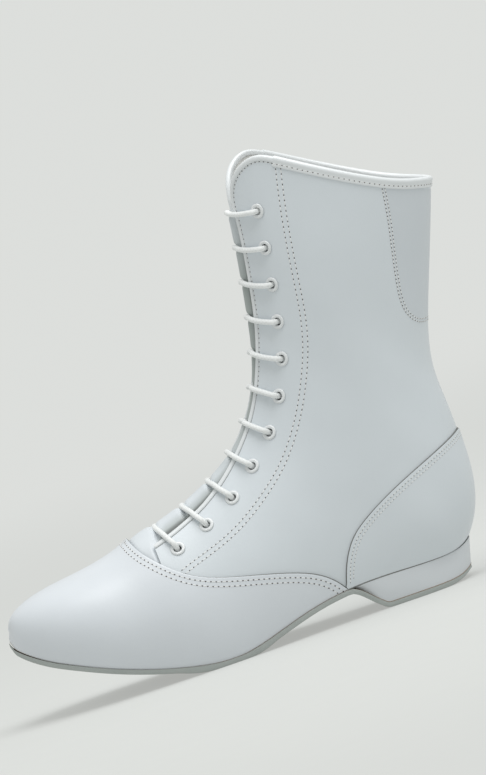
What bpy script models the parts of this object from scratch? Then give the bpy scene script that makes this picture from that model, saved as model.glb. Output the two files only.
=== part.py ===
"""Lace-up dance boot for a left foot, as an assembly of its made pieces.

Metres, +Z up, toe towards -X, outer side of the foot towards -Y. The origin is on the floor under the
middle of the boot's box. The tables are in millimetres on a boot of the drawn length: x runs back from
the tip of the toe, y to the inner side of the foot, z up from the floor.
"""

import math
from collections import namedtuple

import bmesh
import bpy
import numpy as np
from mathutils import Matrix, Vector

# Driving sizes in millimetres
FOOT_LENGTH = 264.0
BALL_WIDTH = 86.0
WALL = 1.8
OVERLAY = 1.0
OVERLAY_LIFT = 0.6
GAP = 0.3
SOLE_THICKNESS = 2.7
SOLE_MARGIN = 1.9
HEEL_MARGIN = 1.4
INSOLE_THICKNESS = 2.2
INSOLE_INSET = 2.7
TONGUE_THICKNESS = 2.0
BINDING_THICKNESS = 0.7
BINDING_DROP = 4.4
EYELET_COUNT = 11
EYELET_BORE = 2.2
EYELET_BARREL = 2.6
EYELET_FLANGE = 3.8
EYELET_HOLE = 3.2
EYELET_SEAT = 0.45
EYELET_TOP = 1.05
EYELET_DEPTH = 1.9
LACE_RADIUS = 1.2

# The tables were drawn at these sizes
DRAWN_LENGTH = 264.0
DRAWN_BALL_WIDTH = 86.0
MILLIMETRE = 0.001
SIZE = FOOT_LENGTH / DRAWN_LENGTH
GIRTH = BALL_WIDTH / DRAWN_BALL_WIDTH
BOX_MIDDLE_X = 146.6
BOX_MIDDLE_Y = -1.2

LATERAL, MEDIAL = -1, 1
SIDES = (LATERAL, MEDIAL)
QUARTER_TURN = math.pi / 2

# The toe is half an ellipse from above: each row is an angle round it, with the heights there
TOE_TIP_X = 1.4
TOE_END_X = 70.0
TOE_LATERAL = 43.0
TOE_MEDIAL = 41.5
ToeRow = namedtuple("ToeRow", "angle top bottom centre ridge")
TOE_ROWS = [
    ToeRow(0, 52.4, 44.2, 5.0, -0.15),
    ToeRow(18, 58.0, 40.0, 4.6, -0.15),
    ToeRow(36, 63.2, 32.6, 3.8, -0.12),
    ToeRow(54, 66.8, 25.2, 2.8, -0.08),
    ToeRow(72, 69.5, 17.2, 1.6, 0.0),
    ToeRow(90, 74.8, 10.0, 0.6, 0.10),
]

# From the ball to the collar each section is a plane through a front point and a back point. Widest is
# the share of the way back where the section is widest, ridge and heel sharpen its front and back where
# they are above 0 and square them below 0, and seat is the share of the half width that is left at the
# back point where that point is on the sole line, or 0 where the section closes there.
Section = namedtuple(
    "Section",
    "front_x front_z back_x back_z lateral medial centre widest ridge heel seat",
)
BODY_SECTIONS = [
    Section(89, 83.4, 92, 4.6, 44.5, 41.5, 0.0, 0.72, 0.18, 0.0, 0.90),
    Section(107, 88.6, 114, 3.0, 44.0, 39.5, 0.0, 0.72, 0.22, 0.0, 0.90),
    Section(124, 95.2, 137, 8.2, 41.5, 36.5, 0.0, 0.71, 0.22, 0.0, 0.89),
    Section(138, 103.0, 160, 14.2, 38.5, 34.5, 0.0, 0.69, 0.20, -0.05, 0.87),
    Section(149, 111.8, 183, 17.1, 36.0, 33.5, 0.0, 0.65, 0.16, -0.15, 0.85),
    Section(157.5, 121.6, 205, 17.3, 34.5, 33.0, 0.0, 0.60, 0.14, -0.30, 0.83),
    Section(163.8, 131.5, 229, 6.5, 34.0, 33.0, 0.0, 0.51, 0.12, -0.52, 0.0),
    Section(168, 141.0, 241, 13.5, 33.8, 33.0, 0.0, 0.51, 0.12, -0.62, 0.0),
    Section(171.2, 150.0, 249.0, 21.2, 33.6, 33.0, 0.0, 0.51, 0.10, -0.52, 0.0),
    Section(174, 159.5, 256.6, 33.0, 33.4, 33.0, 0.0, 0.50, 0.10, -0.32, 0.0),
    Section(176.4, 170.0, 261.5, 50.0, 33.2, 33.0, 0.0, 0.50, 0.10, -0.12, 0.0),
    Section(178.7, 181.5, 262.7, 70.0, 33.2, 33.0, 0.0, 0.49, 0.10, 0.02, 0.0),
    Section(180.8, 193.5, 262.2, 92.0, 33.6, 33.4, 0.0, 0.49, 0.10, 0.06, 0.0),
    Section(182.6, 206.0, 261.6, 114.0, 34.4, 34.2, 0.0, 0.49, 0.10, 0.04, 0.0),
    Section(184.2, 219.0, 267.0, 138.0, 35.6, 35.4, 0.0, 0.50, 0.08, 0.0, 0.0),
    Section(185.6, 233.0, 276.0, 163.0, 36.8, 36.6, 0.0, 0.51, 0.06, 0.0, 0.0),
    Section(186.8, 247.0, 286.0, 190.0, 37.6, 37.4, 0.0, 0.52, 0.05, 0.0, 0.0),
    Section(188.0, 262.0, 295.5, 217.0, 38.2, 38.0, 0.0, 0.52, 0.05, 0.0, 0.0),
    Section(189.2, 278.0, 305.0, 245.0, 38.6, 38.4, 0.0, 0.52, 0.05, 0.0, 0.0),
]

# The sole line behind the ball rows that carry it, up to where it closes round the heel
SidePoint = namedtuple("SidePoint", "x z")
SEAT_LINE = [SidePoint(225, 16.7), SidePoint(240, 17.6), SidePoint(249.0, 21.2)]
SEAT_END_X = SEAT_LINE[-1].x
HEEL_END_PLACE = 14.0

# Lines on the boot as they look from the side
THROAT_EDGE = [
    SidePoint(88, 77.6), SidePoint(106, 82.2), SidePoint(122, 88.6), SidePoint(138, 98.2),
    SidePoint(151, 109.4), SidePoint(162, 124.2), SidePoint(171, 143.5), SidePoint(178, 166.0),
    SidePoint(182.5, 190.0), SidePoint(185.6, 212.0), SidePoint(187.2, 231.0),
]
COLLAR_EDGE = [
    SidePoint(187.2, 231.0), SidePoint(189.6, 240.5), SidePoint(195.5, 248.4), SidePoint(204.5, 252.0),
    SidePoint(214, 249.0), SidePoint(228, 240.6), SidePoint(244, 231.0), SidePoint(260, 222.0),
    SidePoint(276, 214.4), SidePoint(292.0, 209.2),
]
VAMP_EDGE = [
    SidePoint(75.5, 80.0), SidePoint(79.5, 71.5), SidePoint(86.5, 63.5), SidePoint(96, 55.2),
    SidePoint(110, 47.6), SidePoint(130, 41.8), SidePoint(150, 36.3), SidePoint(165, 30.2),
    SidePoint(174, 23.0), SidePoint(179, 16.0),
]
NOTCH_EDGE = [
    SidePoint(72.5, 79.0), SidePoint(75.5, 70.5), SidePoint(80.5, 64.0), SidePoint(88, 58.5),
]
COUNTER_EDGE = [
    SidePoint(177.5, 15.5), SidePoint(181.8, 29.0), SidePoint(189, 41.0), SidePoint(200, 49.8),
    SidePoint(218, 59.4), SidePoint(240, 68.6), SidePoint(256, 74.6), SidePoint(264.6, 78.5),
]
EYELET_LINE = [
    SidePoint(99.5, 67.0), SidePoint(119, 74.2), SidePoint(136.5, 83.3), SidePoint(152.7, 96.2),
    SidePoint(167, 110.4), SidePoint(177.6, 126.8), SidePoint(185.1, 144.6), SidePoint(193, 184.5),
    SidePoint(198.2, 223.8),
]
BAR_RIDGE = [
    SidePoint(90.5, 83.0), SidePoint(127, 96.0), SidePoint(156, 120.0), SidePoint(171, 152.5),
    SidePoint(180, 190.0), SidePoint(183.5, 227.5),
]
BINDING_START = SidePoint(215, 248.6)
MEDIAL_THROAT = 0.72

# The outsole's inner line from the waist down the heel's breast and under the heel
SoleStation = namedtuple("SoleStation", "x z")
HEEL_RUN = [
    SoleStation(180.5, 16.6), SoleStation(184.6, 14.4), SoleStation(188.6, 10.8), SoleStation(192.6, 6.8),
    SoleStation(196.2, 3.7), SoleStation(200, 2.7), SoleStation(212, 2.7), SoleStation(222, 2.7),
    SoleStation(231, 2.7), SoleStation(238, 3.2), SoleStation(242.6, 4.4), SoleStation(245.4, 5.6),
    SoleStation(246.6, 6.2),
]
WAIST_PLACE = 9.78
BALL_FLAT = (99.0, 117.0)


def between(low, high, part):
    return low + (high - low) * part


def natural_spline(values):
    """A smooth curve through rows of values at 0, 1, 2 and so on, as a function of the place along it."""
    values = np.asarray(values, float)
    count = len(values)
    system = np.eye(count)
    right = np.zeros_like(values)
    for i in range(1, count - 1):
        system[i, i - 1 : i + 2] = (1, 4, 1)
        right[i] = 6 * (values[i + 1] - 2 * values[i] + values[i - 1])
    bends = np.linalg.solve(system, right)

    def at(place):
        i = min(max(int(place), 0), count - 2)
        t = place - i
        s = 1 - t
        bend = (s**3 - s) * bends[i] + (t**3 - t) * bends[i + 1]
        return s * values[i] + t * values[i + 1] + bend / 6

    return at


def toe_section(row):
    """A section across the toe, from its place round the ellipse."""
    turn = math.radians(row.angle)
    x = between(TOE_END_X, TOE_TIP_X, math.cos(turn))
    lateral = TOE_LATERAL * math.sin(turn)
    medial = TOE_MEDIAL * math.sin(turn)
    return Section(x, row.top, x, row.bottom, lateral, medial, row.centre, 0.70, row.ridge, 0.0, 0.90)


def buried(section):
    """The section carried on below the sole line until it closes, so that the sole can cut it."""
    if section.seat == 0:
        return section
    turn = math.pi - math.asin(section.seat)
    for _ in range(4):
        turn = math.pi - math.asin(section.seat / (1 - section.heel * math.cos(turn) ** 2))
    reach = section.widest - (1 - section.widest) / math.cos(turn)
    return section._replace(
        back_x=between(section.front_x, section.back_x, reach),
        back_z=between(section.front_z, section.back_z, reach),
        widest=section.widest / reach,
        seat=0,
    )


DRAWN_SECTIONS = [toe_section(row) for row in TOE_ROWS] + BODY_SECTIONS
SECTION_SPLINE = natural_spline([buried(section) for section in DRAWN_SECTIONS])
LAST_PLACE = len(DRAWN_SECTIONS) - 1
SOLE_ROWS_DRAWN = [SidePoint(row.back_x, row.back_z) for row in DRAWN_SECTIONS if row.seat] + SEAT_LINE
SOLE_SPLINE = natural_spline(SOLE_ROWS_DRAWN)
SOLE_LINE = [SidePoint(*SOLE_SPLINE(step)) for step in np.linspace(0, len(SOLE_ROWS_DRAWN) - 1, 400)]


def sole_level(x):
    """The height of the sole line at x."""
    return float(np.interp(x, [point.x for point in SOLE_LINE], [point.z for point in SOLE_LINE]))


def section_at(place):
    """The section at a place along the last, from 0 at the toe's tip to LAST_PLACE above the collar."""
    return Section(*SECTION_SPLINE(place))


def outline(section, turn, side):
    """A point of a section, at an angle round it from its front."""
    cosine = math.cos(turn)
    if turn <= QUARTER_TURN:
        back = section.widest * (1 - cosine)
        sharpness = section.ridge
    else:
        back = section.widest - (1 - section.widest) * cosine
        sharpness = section.heel
    half = section.lateral if side == LATERAL else section.medial
    half *= math.sin(turn) * (1 - sharpness * cosine * cosine) * GIRTH
    x = between(section.front_x, section.back_x, back)
    z = between(section.front_z, section.back_z, back)
    return Vector((x, section.centre + side * half, z))


CUT_ANGLES = {}


def cut_angle(place):
    """The angle round the section at which the sole cuts it, or half a turn where it closes first."""
    key = round(place, 6)
    if key not in CUT_ANGLES:
        section = section_at(place)
        low, high = QUARTER_TURN, math.pi
        closing = outline(section, math.pi, LATERAL)
        if closing.z < sole_level(closing.x) - 1e-6 and place < HEEL_END_PLACE:
            for _ in range(40):
                middle = (low + high) / 2
                point = outline(section, middle, LATERAL)
                if point.z > sole_level(point.x):
                    low = middle
                else:
                    high = middle
        CUT_ANGLES[key] = high
    return CUT_ANGLES[key]


def last_point(place, share, side):
    """A point of the last in millimetres. Share runs round the section from the ridge, 0, to the sole, 1."""
    return outline(section_at(place), share * cut_angle(place), side)


STEP = 0.02


def along_last(place, share, side):
    """How the last runs towards the collar at a point, in millimetres for each whole place."""
    low = max(place - STEP, 0.0)
    return (last_point(place + STEP, share, side) - last_point(low, share, side)) / (place + STEP - low)


def last_normal(place, share, side):
    """The last's outward direction at a point."""
    place = max(place, STEP)
    if share < STEP:
        across = last_point(place, STEP, side) - last_point(place, STEP, -side)
    elif share > 1 - STEP and place >= HEEL_END_PLACE:
        across = last_point(place, 1 - STEP, -side) - last_point(place, 1 - STEP, side)
    else:
        across = last_point(place, min(share + STEP, 1.0), side) - last_point(place, share - STEP, side)
    return (along_last(place, share, side).cross(across) * side).normalized()


def skin(place, share, side, lift):
    """A point this far outside the last, or inside it where lift is below 0."""
    return last_point(place, share, side) + last_normal(place, share, side) * lift


def locate(x, z):
    """The place and share of the point of the last that shows at x and z from the side."""

    def beyond(place):
        section = section_at(place)
        run_x = section.back_x - section.front_x
        run_z = section.back_z - section.front_z
        return run_x * (z - section.front_z) - run_z * (x - section.front_x)

    low, high = 0.0, float(LAST_PLACE)
    for _ in range(40):
        middle = (low + high) / 2
        if beyond(middle) > 0:
            low = middle
        else:
            high = middle
    section = section_at(low)
    run = Vector((section.back_x - section.front_x, section.back_z - section.front_z))
    back = Vector((x - section.front_x, z - section.front_z)).dot(run) / run.length_squared
    back = min(max(back, 0.0), 1.0)
    if back <= section.widest:
        cosine = 1 - back / section.widest
    else:
        cosine = (section.widest - back) / (1 - section.widest)
    return low, min(math.acos(min(max(cosine, -1.0), 1.0)) / cut_angle(low), 1.0)


class SurfaceLine:
    """A line drawn on the last through a few points as seen from the side."""

    SAMPLES = 100

    def __init__(self, points):
        curve = natural_spline(points)
        track = [locate(*curve(step)) for step in np.linspace(0, len(points) - 1, self.SAMPLES)]
        self.places = [place for place, _ in track]
        self.shares = [share for _, share in track]

    def place_at(self, share):
        return float(np.interp(share, self.shares, self.places))

    def share_at(self, place):
        return float(np.interp(place, self.places, self.shares))

    def evenly(self, count):
        """Places and shares of this many points at even distances along the line."""
        points = [last_point(place, share, LATERAL) for place, share in zip(self.places, self.shares)]
        lengths = [(b - a).length for a, b in zip(points, points[1:])]
        reach = np.concatenate([[0.0], np.cumsum(lengths)])
        wanted = np.linspace(0, reach[-1], count)
        return list(zip(np.interp(wanted, reach, self.places), np.interp(wanted, reach, self.shares)))


throat_edge = SurfaceLine(THROAT_EDGE)
collar_edge = SurfaceLine(COLLAR_EDGE)
vamp_edge = SurfaceLine(VAMP_EDGE)
notch_edge = SurfaceLine(NOTCH_EDGE)
counter_edge = SurfaceLine(COUNTER_EDGE)
eyelet_line = SurfaceLine(EYELET_LINE)
bar_ridge = SurfaceLine(BAR_RIDGE)

THROAT_PLACE = throat_edge.places[0]
NOTCH_PLACE = notch_edge.places[0]


def throat_share(place, side):
    """Where round the section the facing's front edge lies."""
    return throat_edge.share_at(place) * (1.0 if side == LATERAL else MEDIAL_THROAT)


def ease(low, high, value):
    """A smooth step from 0 at low to 1 at high."""
    part = min(max((value - low) / (high - low), 0.0), 1.0)
    return part * part * (3 - 2 * part)


def world(point):
    """A point of the drawing, in metres from the part's origin."""
    x, y, z = point
    return Vector((x - BOX_MIDDLE_X, y - BOX_MIDDLE_Y, z)) * (SIZE * MILLIMETRE)


for old in list(bpy.data.objects):
    bpy.data.objects.remove(old, do_unlink=True)

boot = bpy.data.collections.new("dance_boot")
cutters = bpy.data.collections.new("cutters")
bpy.context.scene.collection.children.link(boot)
bpy.context.scene.collection.children.link(cutters)
root = bpy.data.objects.new("boot_root", None)
boot.objects.link(root)


def material(name, colour, roughness, metallic=0.0):
    made = bpy.data.materials.new(name)
    made.use_nodes = True
    shader = made.node_tree.nodes["Principled BSDF"]
    shader.inputs["Base Color"].default_value = (*colour, 1.0)
    shader.inputs["Roughness"].default_value = roughness
    shader.inputs["Metallic"].default_value = metallic
    return made


WHITE_LEATHER = material("white_leather", (0.72, 0.75, 0.77), 0.38)
VAMP_LEATHER = material("vamp_leather", (0.74, 0.77, 0.79), 0.34)
COUNTER_LEATHER = material("counter_leather", (0.72, 0.75, 0.77), 0.38)
BINDING_LEATHER = material("binding_leather", (0.74, 0.77, 0.78), 0.42)
TONGUE_LEATHER = material("tongue_leather", (0.66, 0.69, 0.69), 0.5)
HEEL_LEATHER = material("heel_leather", (0.58, 0.61, 0.62), 0.42)
SOLE_LEATHER = material("sole_leather", (0.36, 0.38, 0.34), 0.7)
INSOLE_BOARD = material("insole_board", (0.70, 0.67, 0.60), 0.85)
EYELET_PAINT = material("eyelet_paint", (0.80, 0.82, 0.82), 0.35)
LACE_CORD = material("lace_cord", (0.84, 0.85, 0.84), 0.8)


def add_part(name, data, look, home=boot):
    """A named part of the boot from a mesh or a curve."""
    data.materials.append(look)
    part = bpy.data.objects.new(name, data)
    home.objects.link(part)
    part.parent = root
    return part


def mesh_from(name, shape):
    bmesh.ops.recalc_face_normals(shape, faces=shape.faces)
    data = bpy.data.meshes.new(name)
    shape.to_mesh(data)
    shape.free()
    data.shade_smooth()
    data.set_sharp_from_angle(angle=math.radians(40))
    return data


def add_sheet(shape, columns, rows, point):
    """A grid of faces laid on the surface that point gives for 0 to 1 across and 0 to 1 along."""
    made = bmesh.ops.create_grid(shape, x_segments=columns, y_segments=rows, size=0.5)
    for vert in made["verts"]:
        vert.co = world(point(vert.co.x + 0.5, vert.co.y + 0.5))
    return made["verts"]


def weld(shape):
    bmesh.ops.remove_doubles(shape, verts=shape.verts, dist=2e-5)
    bmesh.ops.dissolve_degenerate(shape, edges=shape.edges, dist=1e-5)


def face_out(shape, outwards):
    """Turn an open sheet so that its faces point the same way as outwards at their middles."""
    bmesh.ops.recalc_face_normals(shape, faces=shape.faces)
    agree = sum(face.normal.dot(outwards(face.calc_center_median())) for face in shape.faces)
    if agree < 0:
        bmesh.ops.reverse_faces(shape, faces=shape.faces)


def from_axis(point):
    """Away from a line that runs inside the boot, from the toe back and then up the shaft."""
    heart_x = min(point.x, 0.06 + 0.25 * max(point.z - 0.06, 0.0))
    heart_z = max(0.045, point.z) if point.x > heart_x - 1e-9 and point.z > 0.09 else 0.045
    return (point - Vector((heart_x, 0.0, heart_z))).normalized()


def downwards(point):
    return Vector((0.0, 0.0, -1.0))


def upwards(point):
    return Vector((0.0, 0.0, 1.0))


def add_shell(name, shape, outwards, thickness, outside, look, even=True):
    """A closed shell from an open sheet, thickened outside or inside it."""
    weld(shape)
    face_out(shape, outwards)
    data = bpy.data.meshes.new(name)
    shape.to_mesh(data)
    shape.free()
    data.shade_smooth()
    data.set_sharp_from_angle(angle=math.radians(40))
    part = add_part(name, data, look)
    shell = part.modifiers.new("thickness", "SOLIDIFY")
    shell.thickness = thickness * SIZE * MILLIMETRE
    shell.offset = 1.0 if outside else -1.0
    shell.use_even_offset = even
    shell.use_rim = True
    return part


# Upper: one sheet a side from the ridge or the throat's edge round to the sole or the back. Its rows are
# close together where the wall turns under the heel, and above that they spread to the collar.
FACING_COLUMNS = 5
WALL_COLUMNS = 8
TOE_ROWS_CLOSED = 8
NOTCH_ROWS = 5
INSTEP_ROWS = 9
HEEL_PLACES = [12.0, 12.5, 13.0, 13.4, 13.7, 13.88, 14.0, 14.3, 14.6, 15.0]
COLLAR_ROWS = 8
SHAFT_ROWS = INSTEP_ROWS + len(HEEL_PLACES) - 1 + COLLAR_ROWS


def shaft_place(along, collar_place):
    """The place of a row of the shaft, counted from the throat's lower end to the collar."""
    row = along * SHAFT_ROWS
    heel_row = row - INSTEP_ROWS
    if heel_row <= 0:
        return between(THROAT_PLACE, HEEL_PLACES[0], row / INSTEP_ROWS)
    if heel_row <= len(HEEL_PLACES) - 1:
        return float(np.interp(heel_row, range(len(HEEL_PLACES)), HEEL_PLACES))
    return between(HEEL_PLACES[-1], collar_place, (heel_row - len(HEEL_PLACES) + 1) / COLLAR_ROWS)


def collar_spot(part, side):
    """The rim's place and share, this part of the way from the throat's edge to the back."""
    place = collar_edge.place_at(between(collar_edge.shares[0], 1.0, part))
    return place, between(throat_share(place, side), 1.0, part)


def build_upper():
    shape = bmesh.new()
    for side in SIDES:
        notch = notch_edge.share_at(THROAT_PLACE)
        edge = throat_share(THROAT_PLACE, side)
        facing = (notch - edge) / (1 - edge)

        def toe_block(across, along):
            row = along * (TOE_ROWS_CLOSED + NOTCH_ROWS)
            place = NOTCH_PLACE * min(row / TOE_ROWS_CLOSED, 1.0)
            share = 0.0
            if row > TOE_ROWS_CLOSED + 0.01:
                place = between(NOTCH_PLACE, THROAT_PLACE, ((row - TOE_ROWS_CLOSED) / NOTCH_ROWS) ** 1.6)
                share = notch_edge.share_at(place)
            return last_point(place, between(share, 1.0, across), side)

        def shaft_point(part, along):
            place = shaft_place(along, collar_spot(part, side)[0])
            return last_point(place, between(throat_share(place, side), 1.0, part), side)

        add_sheet(shape, WALL_COLUMNS, TOE_ROWS_CLOSED + NOTCH_ROWS, toe_block)
        add_sheet(shape, FACING_COLUMNS, SHAFT_ROWS, lambda a, t: shaft_point(facing * a**1.6, t))
        add_sheet(shape, WALL_COLUMNS, SHAFT_ROWS, lambda a, t: shaft_point(between(facing, 1.0, a), t))
    return add_shell("upper", shape, from_axis, WALL, False, WHITE_LEATHER, even=False)


upper = build_upper()


# Overlays: the vamp over the toe and the counter round the heel, both from the upper's own surface
LOW_SHARE = 0.982
COUNTER_LOW_SHARE = 0.972
VAMP_COLUMNS = 20
VAMP_ROWS = 15


def vamp_point(across, along):
    side = LATERAL if across < 0.5 else MEDIAL
    share = abs(2 * across - 1) * LOW_SHARE
    return skin(vamp_edge.place_at(share) * along, share, side, OVERLAY_LIFT)


vamp_shape = bmesh.new()
add_sheet(vamp_shape, VAMP_COLUMNS, VAMP_ROWS, vamp_point)
add_shell("vamp", vamp_shape, from_axis, OVERLAY, True, VAMP_LEATHER)

COUNTER_COLUMNS = 7
COUNTER_RISE_ROWS = 6
BACK_SEAM_PLACE = 14.3
COUNTER_PLACES = [10.6, 11.3] + HEEL_PLACES
COUNTER_ROWS = len(COUNTER_PLACES) + COUNTER_RISE_ROWS


def counter_point(across, along, side):
    first, last = counter_edge.places[0] + 0.12, counter_edge.places[-1] - 0.05
    row = along * COUNTER_ROWS
    place = float(np.interp(row, range(len(COUNTER_PLACES) + 1), [first] + COUNTER_PLACES))
    rise = max(row - len(COUNTER_PLACES), 0.0) / COUNTER_RISE_ROWS
    place = between(place, last, 1 - (1 - rise) ** 2)
    low = between(COUNTER_LOW_SHARE, 1.0, ease(BACK_SEAM_PLACE - 0.35, BACK_SEAM_PLACE, place))
    high = min(counter_edge.share_at(place), low)
    return skin(place, between(high, low, across), side, OVERLAY_LIFT)


counter_shape = bmesh.new()
for side in SIDES:
    add_sheet(counter_shape, COUNTER_COLUMNS, COUNTER_ROWS, lambda a, t: counter_point(a, t, side))
add_shell("heel_counter", counter_shape, from_axis, OVERLAY, True, COUNTER_LEATHER)


# Outsole: one sheet from the toe to the waist, down the heel's breast and under the heel
HEEL_HALF = 28.6
HEEL_ROUND_X = 216.0


def plan_edge(place, side, margin):
    """A point of the sole line moved out from the foot, level, by this margin."""
    edge = last_point(place, 1.0, side)
    run = along_last(max(place, STEP / 2), 1.0, side)
    out = Vector((run.y, -run.x, 0.0)) * -side
    if place == 0:
        out = Vector((-1.0, 0.0, 0.0))
    return edge + out.normalized() * margin


def heel_half(x):
    """Half the width of the heel's foot at x."""
    if x <= HEEL_ROUND_X:
        return HEEL_HALF
    reach = (x - HEEL_ROUND_X) / (HEEL_RUN[-1].x - HEEL_ROUND_X)
    return HEEL_HALF * math.sqrt(max(0.0, 1 - reach * reach))


SOLE_FRONT_ROWS = 18
SOLE_COLUMNS = 3
HEEL_PARTS = len(HEEL_RUN)
SOLE_ROWS = SOLE_FRONT_ROWS + HEEL_PARTS


def outsole_point(across, along):
    row = round(along * SOLE_ROWS)
    if row <= SOLE_FRONT_ROWS:
        place = WAIST_PLACE * row / SOLE_FRONT_ROWS
        margin = SOLE_MARGIN * ease(0.0, 1.5, place)
        left = plan_edge(place, LATERAL, margin)
        right = plan_edge(place, MEDIAL, margin)
        level = last_point(place, 1.0, LATERAL).z - GAP
    else:
        station = HEEL_RUN[row - SOLE_FRONT_ROWS - 1]
        half = heel_half(station.x)
        left = Vector((station.x, -half, 0.0))
        right = Vector((station.x, half, 0.0))
        level = station.z
    point = left.lerp(right, across)
    if BALL_FLAT[0] < point.x < BALL_FLAT[1]:
        level = SOLE_THICKNESS
    point.z = max(level, SOLE_THICKNESS)
    return point


sole_shape = bmesh.new()
add_sheet(sole_shape, SOLE_COLUMNS, SOLE_ROWS, outsole_point)
add_shell("outsole", sole_shape, downwards, SOLE_THICKNESS, True, SOLE_LEATHER)


# Heel block: its top follows the sole line, its foot stands on the outsole, and it narrows downwards
HEEL_COLUMNS = 4
HEEL_ROWS = HEEL_PARTS - 2
HEEL_TOP_END_X = SEAT_END_X + HEEL_MARGIN
PLACES = np.linspace(9.0, HEEL_END_PLACE, 200)
SEAT_X = [last_point(place, 1.0, LATERAL).x for place in PLACES]


def heel_station(along):
    return HEEL_RUN[1 + round(along * HEEL_ROWS)]


def heel_top(across, along):
    first, last = HEEL_RUN[1].x, HEEL_RUN[-1].x
    x = heel_station(along).x
    reach = (x - first) / (last - first)
    place = float(np.interp(x + reach * (SEAT_END_X - last), SEAT_X, PLACES))
    left = plan_edge(place, LATERAL, HEEL_MARGIN)
    right = plan_edge(place, MEDIAL, HEEL_MARGIN)
    if along > 0.999:
        left = right = Vector((HEEL_TOP_END_X, 0.0, 0.0))
    point = left.lerp(right, across)
    point.z = last_point(place, 1.0, LATERAL).z - between(GAP, 3 * GAP, ease(0.6, 1.0, along))
    return point


def heel_foot(across, along):
    station = heel_station(along)
    half = max(heel_half(station.x) - GAP, 0.0)
    return Vector((station.x, (2 * across - 1) * half, station.z + GAP))


heel_shape = bmesh.new()
bmesh.ops.create_grid(heel_shape, x_segments=HEEL_COLUMNS, y_segments=HEEL_ROWS, size=0.5)
foot_verts = list(heel_shape.verts)
raised = bmesh.ops.extrude_face_region(heel_shape, geom=heel_shape.faces[:])
for vert in [item for item in raised["geom"] if isinstance(item, bmesh.types.BMVert)]:
    vert.co = world(heel_top(vert.co.x + 0.5, vert.co.y + 0.5))
for vert in foot_verts:
    vert.co = world(heel_foot(vert.co.x + 0.5, vert.co.y + 0.5))
weld(heel_shape)
add_part("heel", mesh_from("heel", heel_shape), HEEL_LEATHER)


# Insole: a board inside the wall, on the outsole and the heel
INSOLE_COLUMNS = 4
INSOLE_ROWS = 16


def insole_point(across, along):
    place = HEEL_END_PLACE * math.sin(along * QUARTER_TURN)
    left = plan_edge(place, LATERAL, -INSOLE_INSET)
    right = plan_edge(place, MEDIAL, -INSOLE_INSET)
    if along > 0.999:
        left = right = last_point(place, 1.0, LATERAL) - Vector((INSOLE_INSET, 0.0, 0.0))
    point = left.lerp(right, across)
    point.z = last_point(place, 1.0, LATERAL).z + 0.2
    return point


insole_shape = bmesh.new()
add_sheet(insole_shape, INSOLE_COLUMNS, INSOLE_ROWS, insole_point)
add_shell("insole", insole_shape, upwards, INSOLE_THICKNESS, True, INSOLE_BOARD)


# Tongue: full between the facings, and lower under them where the lace runs
TONGUE_COLUMNS = 6
TONGUE_ROWS = 15
TONGUE_FIRST_PLACE = 4.7
TONGUE_LAST_PLACE = 20.5
TONGUE_REACH = 2.5
TONGUE_RISE = 1.1
TONGUE_SEAT = 7.0
TONGUE_BASE = 4.4


def tongue_point(across, along):
    side = LATERAL if across < 0.5 else MEDIAL
    place = between(TONGUE_FIRST_PLACE, TONGUE_LAST_PLACE, along)
    part = abs(2 * across - 1) * TONGUE_REACH
    lateral = throat_share(place, LATERAL)
    share = part * (lateral if side == LATERAL else between(throat_share(place, MEDIAL), lateral, 0.5))
    seated = between(TONGUE_RISE, TONGUE_SEAT, ease(0.35, 1.5, part))
    depth = between(TONGUE_BASE, seated, ease(THROAT_PLACE, THROAT_PLACE + 1.6, place))
    if place < THROAT_PLACE:
        depth = max(depth, TONGUE_BASE)
    return skin(place, share, side, -depth)


tongue_shape = bmesh.new()
add_sheet(tongue_shape, TONGUE_COLUMNS, TONGUE_ROWS, tongue_point)
add_shell("tongue", tongue_shape, from_axis, TONGUE_THICKNESS, False, TONGUE_LEATHER)


# Collar binding: a strip folded over the rim from one facing's seam round the back to the other
BINDING_ROWS = 22
RIM_CLEAR = 0.6
BINDING_FOLD = [(BINDING_DROP, 1), (0.5 * BINDING_DROP, 1), (-1, 1), (-1, -1), (BINDING_DROP, -1)]


def binding_point(across, along):
    side = LATERAL if along < 0.5 else MEDIAL
    front = collar_edge.shares[0]
    first = (locate(*BINDING_START)[1] - front) / (1 - front)
    rim, share = collar_spot(between(first, 1.0, 1 - abs(2 * along - 1)), side)
    drop, face = BINDING_FOLD[round(across * (len(BINDING_FOLD) - 1))]
    fall = -RIM_CLEAR if drop < 0 else drop
    lift = OVERLAY_LIFT if face > 0 else -(WALL + 2 * OVERLAY_LIFT)
    place = rim - fall / along_last(rim, share, side).length
    return skin(place, share, side, lift)


binding_shape = bmesh.new()
add_sheet(binding_shape, len(BINDING_FOLD) - 1, BINDING_ROWS, binding_point)


def off_rim(point):
    """Away from the middle of the collar's wall, judged at the back of the boot."""
    return (point - world(skin(collar_edge.place_at(1.0) - 0.12, 1.0, MEDIAL, -WALL / 2))).normalized()


weld(binding_shape)
bmesh.ops.recalc_face_normals(binding_shape, faces=binding_shape.faces)
rearmost = max(binding_shape.faces, key=lambda face: face.calc_center_median().x)
if rearmost.normal.dot(off_rim(rearmost.calc_center_median())) < 0:
    bmesh.ops.reverse_faces(binding_shape, faces=binding_shape.faces)
binding_data = bpy.data.meshes.new("collar_binding")
binding_shape.to_mesh(binding_data)
binding_shape.free()
binding = add_part("collar_binding", binding_data, BINDING_LEATHER)
fold = binding.modifiers.new("thickness", "SOLIDIFY")
fold.thickness = BINDING_THICKNESS * SIZE * MILLIMETRE
fold.offset = 1.0
fold.use_even_offset = True


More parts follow.
